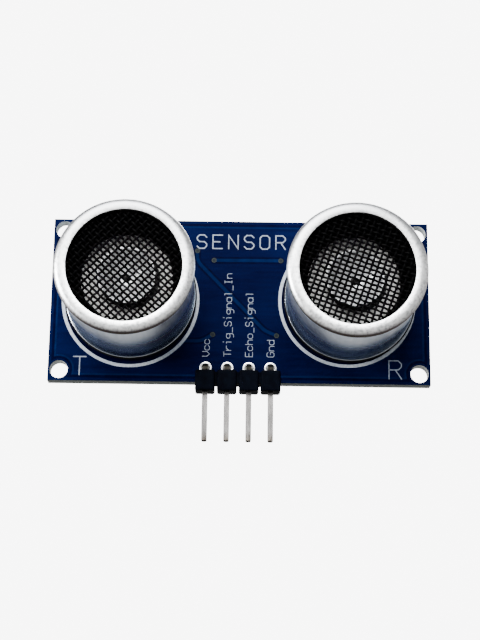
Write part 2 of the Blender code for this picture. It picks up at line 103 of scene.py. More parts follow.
# Transducers, all measured from the board's front face
CAN_FOOT = local_box("transmitter_can")[0].z
CAN_TOP = local_box("transmitter_can")[1].z
RIM_RADIUS = width_of("transmitter_can") / 2
CAN_RADIUS = RIM_RADIUS - 0.4 * MM
CAN_INSIDE = CAN_RADIUS - 0.45 * MM
OPENING_RADIUS = RIM_RADIUS - 1.5 * MM
RIM_HEIGHT = 1.1 * MM
ROLL_RADIUS = RIM_RADIUS - 0.09 * MM
ROLL_WIDTH = 0.95 * MM  # of the rolled edge, seen from the front
RIM_PLATE = 0.4 * MM
BASE_RADIUS = width_of("transmitter_base") / 2
BASE_TOP = local_box("transmitter_base")[1].z
SCREEN_TOP = local_box("transmitter_screen")[1].z
SCREEN_RADIUS = width_of("transmitter_screen") / 2 - 0.1 * MM
SCREEN_WIRE = 0.132 * MM
SCREEN_PITCHES = (0.533 * MM, 0.68 * MM)
SCREEN_TURNS = {"transmitter": 46.4, "receiver": 70.6}  # degrees
PLATE_RADIUS = width_of("transmitter_vibrator_plate") / 2
PLATE_LOW = local_box("transmitter_vibrator_plate")[0].z
PLATE_TOP = local_box("transmitter_vibrator_plate")[1].z
CONE_RADIUS = width_of("transmitter_cone") / 2
CONE_LOW = local_box("transmitter_cone")[0].z
CONE_TOP = local_box("transmitter_cone")[1].z
CONE_FOOT = 0.7 * MM
CONE_WALL = 0.15 * MM
RING_INNER = BASE_RADIUS - 0.05 * MM
RING_WIDTH = 0.37 * MM
RING_SHIFTS = {"transmitter": (-0.02, -0.55), "receiver": (-0.28, -0.25)}  # millimetres, from the cans' axes

# Pins and joints
TERMINAL_RADIUS = width_of("transmitter_terminal_a") / 2
TERMINAL_HOLE = 0.5 * MM
TERMINAL_TAIL = local_box("transmitter_terminal_a", BACK)[1].z
TERMINAL_TOP = local_box("transmitter_terminal_a")[1].z
HEADER_NUMBERS = (1, 2, 3, 4)
HEADER_XS = [local_middle(f"header_pin_{number}").x for number in HEADER_NUMBERS]
HEADER_Y = local_middle("header_solder_1").y
HEADER_HOLE = 0.56 * MM
HEADER_PAD = 0.74 * MM
PIN_BORE = 0.47 * MM  # of the ring round a pin on the front
PIN_SIZE = width_of("header_pin_1")
BLOCK_GAP = 0.24 * MM  # between the header's blocks
BLOCK_CHAMFER = 0.24 * MM
BLOCK_SLOT = 0.9 * MM  # open height between two blocks at the underside
PIN_TAIL = local_box("header_pin_1", BACK)[1].z

# Chip
chip_low, chip_high = local_box("chip_body", BACK)
CHIP_MIDDLE = (chip_low + chip_high) / 2
CHIP_SIZE = chip_high - chip_low
LEAD_SPAN = local_box("chip_lead_frame", BACK)[1].y - local_box("chip_lead_frame", BACK)[0].y
LEAD_PITCH = 1.27 * MM
LEADS_PER_SIDE = 8
LEAD_WIDTH = 0.42 * MM
LEAD_THICKNESS = 0.2 * MM

# Print and copper on the board
INK = 0.02 * MM  # thickness of the white print
INK_STEP = 1.0 * MICRON  # between crossing strokes
MASK_RELIEF = 0.006 * MM  # how far the mask rises over a trace
VIAS = ((-5.2, 6.2), (-3.18, 5.03), (4.82, 5.08), (4.35, -4.24), (-3.2, -4.2))
HIDDEN_VIA = (-8.38, 4.18)  # under the transmitter

ROUND = 160
SMALL_ROUND = 32
SMOOTH_ANGLE = math.radians(38)


# Materials


class Nodes:
    """Short calls that add and link the shader nodes of one material."""

    def __init__(self, name):
        self.material = bpy.data.materials.new(name)
        self.material.use_nodes = True
        self.tree = self.material.node_tree
        self.shader = self.tree.nodes["Principled BSDF"]
        self.place = self.tree.nodes.new("ShaderNodeTexCoord").outputs["Object"]

    def add(self, kind, **values):
        """Adds a node. Values are numbers or colours, or other nodes' outputs."""
        node = self.tree.nodes.new(kind)
        for socket, value in values.items():
            self.put(node, socket.replace("_", " "), value)
        return node

    def put(self, node, socket, value):
        if isinstance(value, bpy.types.NodeSocket):
            self.tree.links.new(value, node.inputs[socket])
        else:
            node.inputs[socket].default_value = value

    def set(self, **values):
        """Sets inputs of the material's Principled shader."""
        for socket, value in values.items():
            self.put(self.shader, socket.replace("_", " "), value)

    def noise(self, size, detail=3.0, stretch=(1, 1, 1)):
        """Noise between 0 and 1 with features of one size; a stretch of 0.1 makes them ten times as long."""
        mapping = self.add("ShaderNodeMapping", Vector=self.place, Scale=stretch)
        texture = self.add("ShaderNodeTexNoise", Vector=mapping.outputs[0], Scale=1 / size, Detail=detail)
        return texture.outputs[0]

    def between(self, factor, low, high, start=0.3, end=0.7):
        """A number that runs from low to high as the factor runs from start to end."""
        node = self.tree.nodes.new("ShaderNodeMapRange")
        self.tree.links.new(factor, node.inputs[0])
        for index, value in enumerate((start, end, low, high), start=1):
            node.inputs[index].default_value = value
        return node.outputs[0]

    def tones(self, factor, *stops):
        """A colour picked along stops of (position, (red, green, blue))."""
        node = self.tree.nodes.new("ShaderNodeValToRGB")
        self.tree.links.new(factor, node.inputs[0])
        elements = node.color_ramp.elements
        while len(elements) < len(stops):
            elements.new(0.5)
        for element, (position, colour) in zip(elements, stops):
            element.position = position
            element.color = (*colour, 1.0)
        return node.outputs[0]

    def mix(self, factor, first, second):
        node = self.tree.nodes.new("ShaderNodeMix")
        node.data_type = "RGBA"
        for index, value in ((0, factor), (6, first), (7, second)):
            self.put(node, index, value)
        return node.outputs[2]

    def combine(self, operation, first, second):
        node = self.tree.nodes.new("ShaderNodeMath")
        node.operation = operation
        self.put(node, 0, first)
        self.put(node, 1, second)
        return node.outputs[0]

    def relief(self, height, depth):
        """A bump of a given depth in metres."""
        return self.add("ShaderNodeBump", Height=height, Distance=depth, Strength=1.0).outputs[0]


def finish(name, dark, light, patch, roughness, metallic=0.0, grain=0.05, depth=1.5, stretch=(1, 1, 1)):
    """A material whose colour drifts between two tones, with uneven roughness and a fine relief.

    The sizes of the patches and of the grain are in millimetres, and the relief's depth in micrometres.
    """
    nodes = Nodes(name)
    drift = nodes.noise(patch * MM, stretch=stretch)
    fine = nodes.noise(grain * MM, stretch=stretch)
    nodes.set(
        Base_Color=nodes.tones(drift, (0.3, dark), (0.7, light)),
        Roughness=nodes.between(fine, *roughness),
        Metallic=metallic,
        Normal=nodes.relief(fine, depth * MICRON),
    )
    return nodes


MASK_GLOSS = 0.004


def mask_material():
    """Navy solder mask: faint streaks from the laminate's weave, and fine dust."""
    nodes = Nodes("navy_solder_mask")
    streaks = nodes.noise(0.5 * MM, stretch=(0.12, 1, 1))
    clouds = nodes.noise(9 * MM)
    deep = nodes.tones(streaks, (0.3, (0.0001, 0.0004, 0.0078)), (0.7, (0.0001, 0.0009, 0.0125)))
    pale = nodes.tones(streaks, (0.3, (0.0001, 0.001, 0.0125)), (0.7, (0.0002, 0.0018, 0.0178)))
    fine = nodes.noise(0.12 * MM)
    nodes.set(
        Base_Color=nodes.mix(nodes.between(clouds, 0, 1), deep, pale),
        Roughness=nodes.between(fine, 0.22, 0.34),
        Specular_IOR_Level=MASK_GLOSS,
        Normal=nodes.relief(nodes.noise(0.35 * MM), 1.2 * MICRON),
    )
    return nodes.material


def laminate_material():
    """The sawn glass-fibre edge: grey-green layers with pale fibre ends."""
    nodes = Nodes("laminate_edge")
    layers = nodes.noise(0.16 * MM, detail=4.0, stretch=(0.25, 1, 0.25))
    specks = nodes.noise(0.05 * MM)
    base = nodes.tones(layers, (0.32, (0.022, 0.028, 0.026)), (0.68, (0.06, 0.07, 0.062)))
    nodes.set(
        Base_Color=nodes.mix(nodes.between(specks, 0.0, 0.5, 0.55, 0.75), base, (0.11, 0.12, 0.105, 1)),
        Roughness=0.7,
        Normal=nodes.relief(specks, 8 * MICRON),
    )
    return nodes.material


def distance_from_axis(nodes):
    """How far a point is from the axis of its own transducer."""
    split = nodes.add("ShaderNodeSeparateXYZ", Vector=nodes.place)
    middle = local_middle("receiver_can")
    aside = nodes.combine("ABSOLUTE", nodes.combine("SUBTRACT", split.outputs["X"], MIDDLE.x), 0.0)
    flat = nodes.add(
        "ShaderNodeCombineXYZ",
        X=nodes.combine("SUBTRACT", aside, middle.x),
        Y=nodes.combine("SUBTRACT", split.outputs["Z"], MIDDLE.z + middle.y),
    )
    length = nodes.add("ShaderNodeVectorMath", Vector=flat.outputs[0])
    length.operation = "LENGTH"
    return length.outputs["Value"]


def rim_material():
    """Satin aluminium with grey mottling and a darker, patchy band round its middle. Painted shade: darker towards the
    can's top and on faces turned up, near black on faces turned down.
    """
    nodes = Nodes("satin_rim")
    mottle = nodes.noise(0.3 * MM, detail=5.0)
    broad = nodes.noise(3.5 * MM)
    base = nodes.tones(mottle, (0.33, (0.42, 0.43, 0.44)), (0.52, (0.82, 0.83, 0.83)), (0.7, (0.94, 0.94, 0.94)))
    reach = distance_from_axis(nodes)
    inner = nodes.between(reach, 0.0, 0.6, OPENING_RADIUS + 0.3 * MM, OPENING_RADIUS + 0.6 * MM)
    outer = nodes.between(reach, 1.0, 0.0, OPENING_RADIUS + 0.7 * MM, OPENING_RADIUS + 1.0 * MM)
    patchy = nodes.combine("MULTIPLY", inner, nodes.between(broad, 0.5, 1.0))
    level = nodes.mix(nodes.combine("MULTIPLY", patchy, outer), base, (0.42, 0.43, 0.44, 1))
    axis = MIDDLE.z + local_middle("receiver_can").y
    rise = nodes.add("ShaderNodeSeparateXYZ", Vector=nodes.place).outputs["Z"]
    # Painted shade: the rim darkens towards the top of the can.
    face = nodes.mix(nodes.between(rise, 0.0, 0.75, axis - 5 * MM, axis + 7 * MM), level, (0.16, 0.163, 0.168, 1))
    normal = nodes.add("ShaderNodeNewGeometry").outputs["Normal"]
    facing = nodes.add("ShaderNodeSeparateXYZ", Vector=normal).outputs["Z"]
    # Painted shade: faces turned up are darker.
    shaded_top = nodes.mix(nodes.between(facing, 0.0, 1.0, 0.03, 0.4), face, (0.19, 0.195, 0.205, 1))
    nodes.set(
        # Painted shade and reflection: faces turned down go near black, for the groove's shadow and the dark board
        # they would mirror.
        Base_Color=nodes.mix(nodes.between(facing, 1.0, 0.0, -0.68, -0.06), shaded_top, (0.05, 0.04, 0.038, 1)),
        Metallic=1.0,
        Roughness=nodes.between(mottle, 0.28, 0.4),
        Normal=nodes.relief(mottle, 1.8 * MICRON),
    )
    return nodes.material


def wall_material():
    """Drawn aluminium, smoother than the rim, with faint marks of the drawing and a painted reflection of the navy
    board: bluer towards its foot, with a neutral grey lip at the foot.
    """
    nodes = Nodes("drawn_wall")
    broad = nodes.noise(2.5 * MM, detail=2.0)
    drawn = nodes.noise(0.5 * MM, detail=2.0, stretch=(1, 0.1, 1))
    base = nodes.tones(drawn, (0.3, (0.66, 0.71, 0.77)), (0.7, (0.78, 0.82, 0.87)))
    depth = nodes.add("ShaderNodeSeparateXYZ", Vector=nodes.place).outputs["Y"]
    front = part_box("transmitter_can")[0].y
    # Painted reflection: the wall turns bluer towards its foot, as if mirroring the navy board.
    low = nodes.between(depth, 0.0, 0.9, front + 4 * MM, front + 9 * MM)
    # The lip at the foot gets a neutral grey in place of the painted blue.
    foot = nodes.between(depth, 0.0, 1.0, board_low.y - CAN_FOOT - 0.45 * MM, board_low.y - CAN_FOOT - 0.3 * MM)
    shade = nodes.mix(nodes.between(broad, 0.0, 0.4), base, (0.5, 0.58, 0.68, 1))
    board_reflection = nodes.mix(low, shade, (0.34, 0.52, 0.76, 1))
    nodes.set(
        Base_Color=nodes.mix(foot, board_reflection, (0.33, 0.36, 0.4, 1)),
        Metallic=1.0,
        Roughness=nodes.between(depth, 0.4, 0.22, front + 2 * MM, front + 8.5 * MM),
    )
    return nodes.material


def ring_material():
    """The white print, kept out of the walls' reflections, where it would show too clearly."""
    nodes = finish("ring_ink", (0.15, 0.175, 0.205), (0.29, 0.31, 0.345), 0.25, (0.5, 0.7), grain=0.06, depth=4)
    mirrored = nodes.add("ShaderNodeLightPath").outputs["Is Glossy Ray"]
    ink = nodes.shader.inputs["Base Color"].links[0].from_socket
    nodes.set(Base_Color=nodes.mix(mirrored, ink, (0.001, 0.004, 0.02, 1)))
    return nodes.material


def solder_material(name, tint, roughness):
    """Tin solder, bright with duller drifts."""
    pale = tuple(channel * 1.12 for channel in tint)
    nodes = finish(name, tint, pale, 0.35, roughness, metallic=1.0, grain=0.12, depth=6)
    return nodes.material


def pin_material():
    """Plated pins, darker and browner at the tips, where the plating is thin. Near black above the housing in front of
    the board: painted shade at the bend.
    """
    nodes = Nodes("plated_pin")
    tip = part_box("header_pin_1")[0].z
    housing_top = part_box("header_housing")[1].z
    split = nodes.add("ShaderNodeSeparateXYZ", Vector=nodes.place)
    worn = nodes.between(split.outputs["Z"], 1.0, 0.0, tip, tip + 1.2 * MM)
    above = nodes.between(split.outputs["Z"], 0.0, 1.0, housing_top, housing_top + 0.2 * MM)
    ahead = nodes.between(split.outputs["Y"], 1.0, 0.0, board_low.y, board_high.y)
    patchy = nodes.noise(0.4 * MM, stretch=(1, 1, 0.3))
    plated = nodes.tones(patchy, (0.3, (0.095, 0.092, 0.09)), (0.7, (0.165, 0.16, 0.157)))
    brown = nodes.tones(patchy, (0.35, (0.05, 0.042, 0.034)), (0.65, (0.14, 0.125, 0.105)))
    # Painted shade at the pins' bend, above the housing and in front of the board.
    bend_shade = nodes.tones(patchy, (0.3, (0.0015, 0.0014, 0.0012)), (0.7, (0.007, 0.0065, 0.0055)))
    fine = nodes.noise(0.08 * MM, stretch=(1, 1, 0.1))
    nodes.set(
        Base_Color=nodes.mix(nodes.combine("MULTIPLY", above, ahead), nodes.mix(worn, plated, brown), bend_shade),
        Metallic=1.0,
        Roughness=nodes.between(fine, 0.28, 0.42),
        Normal=nodes.relief(fine, 1.5 * MICRON),
    )
    return nodes.material


MASK = mask_material()
LAMINATE = laminate_material()
RIM_METAL = rim_material()
WALL_METAL = wall_material()
RING_INK = ring_material()
PIN_METAL = pin_material()
MASK_TRACE = finish(
    "mask_over_trace", (0.0001, 0.0026, 0.017), (0.0003, 0.0042, 0.024), 1.2, (0.25, 0.35)
).material
# Darker mask over gaps in the copper, also used for the painted shadow round the cans' feet.
MASK_GAP_AND_SHADOW = finish("mask_over_gap_and_shadow", (0.0001, 0.0002, 0.005), (0.0001, 0.0005, 0.009), 1.2, (0.25, 0.35)).material
MASK_DARK = finish("mask_in_header_box", (0.0001, 0.0002, 0.001), (0.0002, 0.0005, 0.003), 0.6, (0.2, 0.4)).material
WHITE_INK = finish("white_ink", (0.32, 0.355, 0.41), (0.52, 0.55, 0.6), 0.25, (0.5, 0.7), grain=0.06, depth=4).material
THIN_INK = finish("thin_ink", (0.06, 0.078, 0.105), (0.135, 0.158, 0.195), 0.25, (0.5, 0.7), grain=0.06, depth=4).material
VIA_GREEN = finish("via_ring", (0.0016, 0.0042, 0.0042), (0.007, 0.0115, 0.0085), 0.2, (0.35, 0.5)).material
VIA_DARK = finish("via_well", (0.001, 0.002, 0.004), (0.003, 0.005, 0.008), 0.1, (0.4, 0.6)).material
BLACK_WIRE = finish("black_wire", (0.0003, 0.0003, 0.0004), (0.0009, 0.0009, 0.001), 0.3, (0.35, 0.5), 0.0, 0.06).material
CAN_BLACK = finish("can_inside", (0.002, 0.002, 0.002), (0.005, 0.005, 0.005), 1.0, (0.6, 0.8)).material
BASE_BLACK = finish("base_plastic", (0.0006, 0.0006, 0.0008), (0.0016, 0.0016, 0.0018), 1.0, (0.45, 0.6), 0, 0.08, 4).material
PLATE_METAL = finish("plate_metal", (0.44, 0.44, 0.43), (0.56, 0.56, 0.55), 0.8, (0.42, 0.56), 0.6, 0.09, 3).material
CONE_METAL = finish("cone_metal", (0.8, 0.82, 0.85), (0.92, 0.93, 0.95), 0.9, (0.19, 0.28), 0.45, 0.1, 2).material
HOLE_WALL = finish("drilled_wall", (0.16, 0.17, 0.165), (0.3, 0.31, 0.3), 0.3, (0.6, 0.8), stretch=(1, 3, 1)).material
# Dark glue, also used for the painted shadow under the cones' lips.
DARK_GLUE_AND_SHADOW = finish("dark_glue_and_shadow", (0.002, 0.0015, 0.0015), (0.006, 0.005, 0.004), 0.3, (0.25, 0.4)).material
CERAMIC = finish("piezo_ceramic", (0.45, 0.42, 0.33), (0.6, 0.57, 0.47), 0.5, (0.6, 0.75)).material
SILICONE = finish("silicone", (0.4, 0.41, 0.4), (0.56, 0.57, 0.56), 0.8, (0.6, 0.8)).material
INSULATION = finish("wire_insulation", (0.6, 0.58, 0.53), (0.75, 0.73, 0.68), 0.5, (0.5, 0.6)).material
SOLDER = solder_material("solder", (0.72, 0.72, 0.72), (0.14, 0.3))
SHADED_SOLDER = solder_material("shaded_solder", (0.05, 0.05, 0.048), (0.35, 0.5))
TIN = solder_material("tinned_metal", (0.74, 0.74, 0.73), (0.22, 0.34))
# A darker copy of the solder, painted shade: its dark body stands for the dark surroundings the joints reflect.
SHADED_JOINT_SOLDER = solder_material("joint_solder_in_shade", (0.15, 0.15, 0.152), (0.1, 0.24))
COPPER_END = finish("clipped_end", (0.07, 0.04, 0.022), (0.2, 0.12, 0.07), 0.15, (0.35, 0.5), 1.0, 0.05, 6).material
FLUX = finish("flux_residue", (0.0002, 0.0003, 0.0007), (0.0014, 0.0014, 0.0018), 0.25, (0.25, 0.45), 0, 0.1, 5).material
HEADER_PLASTIC = finish(
    "header_plastic", (0.0002, 0.0003, 0.001), (0.0005, 0.0009, 0.0022), 0.7, (0.45, 0.6), 0, 0.07, 3
).material
CHIP_EPOXY = finish(
    "chip_epoxy", (0.0004, 0.0008, 0.0018), (0.0012, 0.002, 0.0035), 0.35, (0.45, 0.62), 0, 0.035, 4
).material
SILICON = finish("silicon", (0.08, 0.08, 0.1), (0.13, 0.13, 0.15), 0.5, (0.15, 0.25), 0.6).material
RESISTOR_GLAZE = finish("resistor_glaze", (0.0012, 0.0015, 0.0025), (0.007, 0.008, 0.01), 0.2, (0.25, 0.4)).material
CAPACITOR_CERAMIC = finish(
    "capacitor_ceramic", (0.14, 0.08, 0.052), (0.25, 0.155, 0.105), 0.18, (0.4, 0.55), 0, 0.05, 3
).material


DULL = {
    MASK_TRACE: MASK_GLOSS,
    MASK_GAP_AND_SHADOW: MASK_GLOSS,
    MASK_DARK: MASK_GLOSS,
    BLACK_WIRE: 0.01,
    HEADER_PLASTIC: 0.006,
    CHIP_EPOXY: 0.04,
    BASE_BLACK: 0.04,
    RESISTOR_GLAZE: 0.07,
    FLUX: 0.025,
    DARK_GLUE_AND_SHADOW: 0.15,
    CAN_BLACK: 0.05,
    VIA_DARK: 0.05,
    VIA_GREEN: 0.08,
}
for dull_material, gloss in DULL.items():
    dull_material.node_tree.nodes["Principled BSDF"].inputs["Specular IOR Level"].default_value = gloss


# Shapes


def even_shading(item):
    """Keeps large flat faces flat beside their rounded edges."""
    weigh = item.modifiers.new("even_shading", "WEIGHTED_NORMAL")
    weigh.keep_sharp = True
    weigh.weight = 100


def piece(name, shape, material, place, stands_for=(), flat_sides=False):
    """Turns a bmesh built in a local frame into a named piece of the sensor."""
    bmesh.ops.recalc_face_normals(shape, faces=shape.faces)
    mesh = bpy.data.meshes.new(name)
    shape.to_mesh(mesh)
    shape.free()
    mesh.transform(place)
    mesh.shade_smooth()
    mesh.set_sharp_from_angle(angle=SMOOTH_ANGLE)
    materials = material if isinstance(material, tuple) else (material,)
    for entry in materials:
        mesh.materials.append(entry)
    item = bpy.data.objects.new(name, mesh)
    bpy.context.scene.collection.objects.link(item)
    if flat_sides:
        even_shading(item)
    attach(item, "root")
    if stands_for:
        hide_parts(*stands_for)
    return item


def arc(centre, radius, start, end, steps):
    """Points on an arc between two angles in degrees, both ends included."""
    points = []
    for step in range(steps + 1):
        angle = math.radians(start + (end - start) * step / steps)
        points.append(Vector((centre[0] + radius * math.cos(angle), centre[1] + radius * math.sin(angle))))
    return points


def circle(centre, radius, steps):
    """A closed loop of points."""
    return arc(centre, radius, 0, 360, steps)[:-1]


def turned(profile, sides=ROUND, closed=False):
    """A profile of (radius, height) points spun about z. An open profile starts and ends on the axis."""
    shape = bmesh.new()
    verts = [shape.verts.new((radius, 0, height)) for radius, height in profile]
    followers = verts[1:] + (verts[:1] if closed else [])
    edges = [shape.edges.new(pair) for pair in zip(verts, followers)]
    bmesh.ops.spin(
        shape,
        geom=verts + edges,
        cent=(0, 0, 0),
        axis=(0, 0, 1),
        angle=2 * math.pi,
        steps=sides,
        use_merge=True,
        use_duplicate=False,
    )
    bmesh.ops.remove_doubles(shape, verts=shape.verts[:], dist=MICRON / 10)
    return shape


def stamp(shape, other, place):
    """Adds a moved copy of one bmesh to another."""
    mesh = bpy.data.meshes.new("carrier")
    other.to_mesh(mesh)
    mesh.transform(place)
    shape.from_mesh(mesh)
    bpy.data.meshes.remove(mesh)


def wobble(shape, amount, size, seed):
    """Makes a shape uneven by moving its points along their normals."""
    shape.normal_update()
    offset = Vector((seed, seed * 0.37, seed * 0.71))
    moves = [(vert, vert.normal * amount * noise.noise(vert.co / size + offset)) for vert in shape.verts]
    for vert, move in moves:
        vert.co += move


def rounded_path(corners, radius, steps=8):
    """A polyline whose inner corners are replaced by arcs of one radius, or less where there's no room."""
    path = [Vector(corners[0])]
    for before, corner, after in zip(corners, corners[1:], corners[2:]):
        corner = Vector(corner)
        back = Vector(before) - corner
        ahead = Vector(after) - corner
        half_angle = back.angle(ahead) / 2
        if half_angle > math.radians(89):
            continue
        room = min(back.length, ahead.length) / 2
        bend = min(radius, room * math.tan(half_angle))
        back.normalize()
        ahead.normalize()
        reach = bend / math.tan(half_angle)
        middle = corner + (back + ahead).normalized() * (bend / math.sin(half_angle))
        first = (corner + back * reach - middle).normalized()
        last = (corner + ahead * reach - middle).normalized()
        for step in range(steps + 1):
            path.append(middle + first.slerp(last, step / steps) * bend)
    path.append(Vector(corners[-1]))
    return path


def line_sides(line, width, closed):
    """The left and right points of a flat line of constant width, mitred at its corners."""
    sections = []
    for index, point in enumerate(line):
        before = line[index - 1] if index or closed else None
        after = line[(index + 1) % len(line)] if index + 1 < len(line) or closed else None
        arriving = (point - before).normalized() if before else (after - point).normalized()
        leaving = (after - point).normalized() if after else arriving
        ahead = (arriving + leaving).normalized()
        across = Vector((-ahead.y, ahead.x))
        mitre = max(0.4, across.dot(Vector((-arriving.y, arriving.x))))
        step = across * (width / 2 / mitre)
        sections.append((point + step, point - step))
    return sections


def ribbon(shape, line, width, low, high, closed=False):
    """Adds a flat line to a bmesh, as a closed body with round ends."""
    sections = line_sides(line, width, closed)
    floor = [[shape.verts.new((*side, low)) for side in section] for section in sections]
    roof = [[shape.verts.new((*side, high)) for side in section] for section in sections]
    count = len(line)
    for index in range(count if closed else count - 1):
        after = (index + 1) % count
        for level in (floor, roof):
            shape.faces.new((level[index][0], level[index][1], level[after][1], level[after][0]))
        for side in (0, 1):
            shape.faces.new((floor[index][side], floor[after][side], roof[after][side], roof[index][side]))
    if not closed:
        for index, left, right in ((0, 0, 1), (count - 1, 1, 0)):
            start = (sections[index][left] - line[index]).xy
            turn = math.degrees(math.atan2(start.y, start.x))
            cap = arc(line[index], start.length, turn, turn + 180, 6)[1:-1]
            ends = []
            for level, height in ((floor, low), (roof, high)):
                middle = [shape.verts.new((*point, height)) for point in cap]
                ends.append([level[index][left], *middle, level[index][right]])
                shape.faces.new(ends[-1])
            for step in range(len(cap) + 1):
                shape.faces.new((ends[0][step], ends[0][step + 1], ends[1][step + 1], ends[1][step]))


def mound(shape, centre, length, width, height, turn=0.0, flat=0.0, steps=6):
    """Adds a smooth drop with a long round outline to a bmesh. flat is the flat share of its top."""
    radius = width / 2
    straight = max(0.0, length / 2 - radius)
    rings = []
    for level in range(steps + 1):
        angle = math.radians(90) * level / steps
        shrink = flat + (1 - flat) * math.cos(angle)
        ring = []
        for side, start in ((1, -90), (-1, 90)):
            for point in arc((side * straight, 0), max(radius * shrink, radius * 0.03), start, start + 180, 8):
                moved = Matrix.Rotation(math.radians(turn), 2) @ point
                ring.append(shape.verts.new((centre[0] + moved.x, centre[1] + moved.y, height * math.sin(angle))))
        rings.append(ring)
    for lower, upper in zip(rings, rings[1:]):
        for index in range(len(lower)):
            shape.faces.new((lower[index - 1], lower[index], upper[index], upper[index - 1]))
    shape.faces.new(rings[0])
    shape.faces.new(rings[-1])


def rounded_box(size, centre, edge, segments=3):
    shape = bmesh.new()
    corners = bmesh.ops.create_cube(shape, size=1)["verts"]
    bmesh.ops.scale(shape, vec=size, verts=corners)
    bmesh.ops.translate(shape, vec=centre, verts=corners)
    bmesh.ops.bevel(shape, geom=shape.edges[:], offset=edge, segments=segments, profile=0.5, affect="EDGES")
    return shape


def pierced_plate(loops, thickness, edge):
    """A flat plate below z = 0, from an outline and the loops of its holes, with rounded edges."""
    curve = bpy.data.curves.new("plate", "CURVE")
    curve.dimensions = "2D"
    curve.fill_mode = "BOTH"
    curve.extrude = thickness / 2 - edge
    curve.bevel_depth = edge
    curve.bevel_resolution = 1
    curve.offset = -edge
    for loop in loops:
        spline = curve.splines.new("POLY")
        spline.points.add(len(loop) - 1)
        spline.use_cyclic_u = True
        for knot, point in zip(spline.points, loop):
            knot.co = (*point, 0, 1)
    carrier = bpy.data.objects.new("plate", curve)
    bpy.context.scene.collection.objects.link(carrier)
    mesh = bpy.data.meshes.new_from_object(carrier.evaluated_get(bpy.context.evaluated_depsgraph_get()))
    shape = bmesh.new()
    shape.from_mesh(mesh)
    bpy.data.objects.remove(carrier)
    bpy.data.meshes.remove(mesh)
    bmesh.ops.remove_doubles(shape, verts=shape.verts[:], dist=MICRON)
    bmesh.ops.translate(shape, vec=(0, 0, -thickness / 2), verts=shape.verts[:])
    return shape


def tube(shape, path, side, radius, sides):
    """Adds a round wire to a bmesh. Its path lies in one plane, and side is square to that plane."""
    rings = []
    for index, point in enumerate(path):
        ahead = (path[min(index + 1, len(path) - 1)] - path[max(index - 1, 0)]).normalized()
        up = side.cross(ahead)
        ring = []
        for spoke in circle((0, 0), radius, sides):
            ring.append(shape.verts.new(point + side * spoke.x + up * spoke.y))
        rings.append(ring)
    for first, second in zip(rings, rings[1:]):
        for index in range(sides):
            shape.faces.new((first[index - 1], first[index], second[index], second[index - 1]))
    shape.faces.new(rings[0])
    shape.faces.new(rings[-1])


def bent_strip(corners, thickness, width, radius):
    """A flat strip bent in its yz plane. Its corners lie on its centre line, and its width runs along x."""
    path = rounded_path(corners, radius, 5)
    sections = line_sides(path, thickness, closed=False)
    outline = [section[0] for section in sections] + [section[1] for section in reversed(sections)]
    shape = bmesh.new()
    face = shape.faces.new([shape.verts.new((-width / 2, point.x, point.y)) for point in outline])
    grown = bmesh.ops.extrude_face_region(shape, geom=[face])["geom"]
    moved = [part for part in grown if isinstance(part, bmesh.types.BMVert)]
    bmesh.ops.translate(shape, vec=(width, 0, 0), verts=moved)
    return shape


# Lettering: strokes on a grid four units wide, with the baseline at 2, the small letters' top at 6 and
# the capitals' top at 8. Each pair of digits is a point, and a bar starts a new stroke.

GLYPHS = {
    "A": "02 06 28 46 42|04 44",
    "B": "05 35 46 47 38 08 02 32 43 44 35",
    "C": "47 38 18 07 03 12 32 43",
    "D": "02 08 28 46 44 22 02",
    "E": "48 08 02 42|05 35",
    "G": "47 38 18 07 03 12 32 43 45 25",
    "H": "02 08|42 48|05 45",
    "I": "18 38|12 32|28 22",
    "J": "18 48|38 33 22 12 03",
    "L": "08 02 42",
    "M": "02 08 25 48 42",
    "N": "02 08 42 48",
    "O": "18 07 03 12 32 43 47 38 18",
    "R": "02 08 38 47 46 35 05|25 42",
    "S": "47 38 18 07 06 15 35 44 43 32 12 03",
    "T": "08 48|28 22",
    "U": "08 03 12 32 43 48",
    "V": "08 04 22 44 48",
    "0": "18 07 03 12 32 43 47 38 18",
    "1": "17 28 22|12 32",
    "2": "07 18 38 47 46 02 42",
    "3": "07 18 38 47 46 35 15|35 44 43 32 12 03",
    "4": "32 38 04 44",
    "5": "48 08 05 35 44 43 32 12 03",
    "6": "38 18 07 03 12 32 43 44 35 05",
    "7": "08 48 22",
    "8": "15 06 07 18 38 47 46 35 15 04 03 12 32 43 44 35",
    "_": "01 41",
    "a": "46 42|45 36 16 05 03 12 32 43",
    "c": "45 36 16 05 03 12 32 43",
    "d": "48 42|45 36 16 05 03 12 32 43",
    "e": "04 44 45 36 16 05 03 12 42",
    "g": "46 41 30 10|45 36 16 05 04 13 33 44",
    "h": "08 02|05 16 36 45 42",
    "i": "16 26 22|28 29",
    "l": "18 28 22",
    "n": "06 02|05 16 36 45 42",
    "o": "16 05 03 12 32 43 45 36 16",
    "r": "06 02|04 26 46",
    "s": "45 36 16 05 14 34 43 32 12 03",
}
GLYPH_WIDTH = 4
CAPITAL_HEIGHT = 6
BASELINE = 2
LETTER_PITCH = 5.3


def write(shape, words, height, start, stroke, length=None, turn=0.0):
    """Prints words as raised strokes, from the lower left corner of the first capital.

    height is a capital's height. With a length, the letters spread to fill it.
    """
    unit = height / CAPITAL_HEIGHT
    pitch = LETTER_PITCH * unit
    if length:
        pitch = (length - GLYPH_WIDTH * unit) / (len(words) - 1)
    direction = Matrix.Rotation(math.radians(turn), 2)
    for place, letter in enumerate(words):
        for level, line in enumerate(GLYPHS.get(letter, "").split("|")):
            knots = [Vector((int(knot[0]) * unit + place * pitch, (int(knot[1]) - BASELINE) * unit)) for knot in line.split()]
            if not knots:
                continue
            knots = [Vector(start) + direction @ knot for knot in knots]
            closed = (knots[0] - knots[-1]).length < MICRON
            line_knots = knots[:-1] if closed else knots
            ribbon(shape, line_knots, stroke, 0, INK + level * INK_STEP, closed)


def mm(*values):
    """A point from millimetres."""
    return Vector(values) * MM


# The board


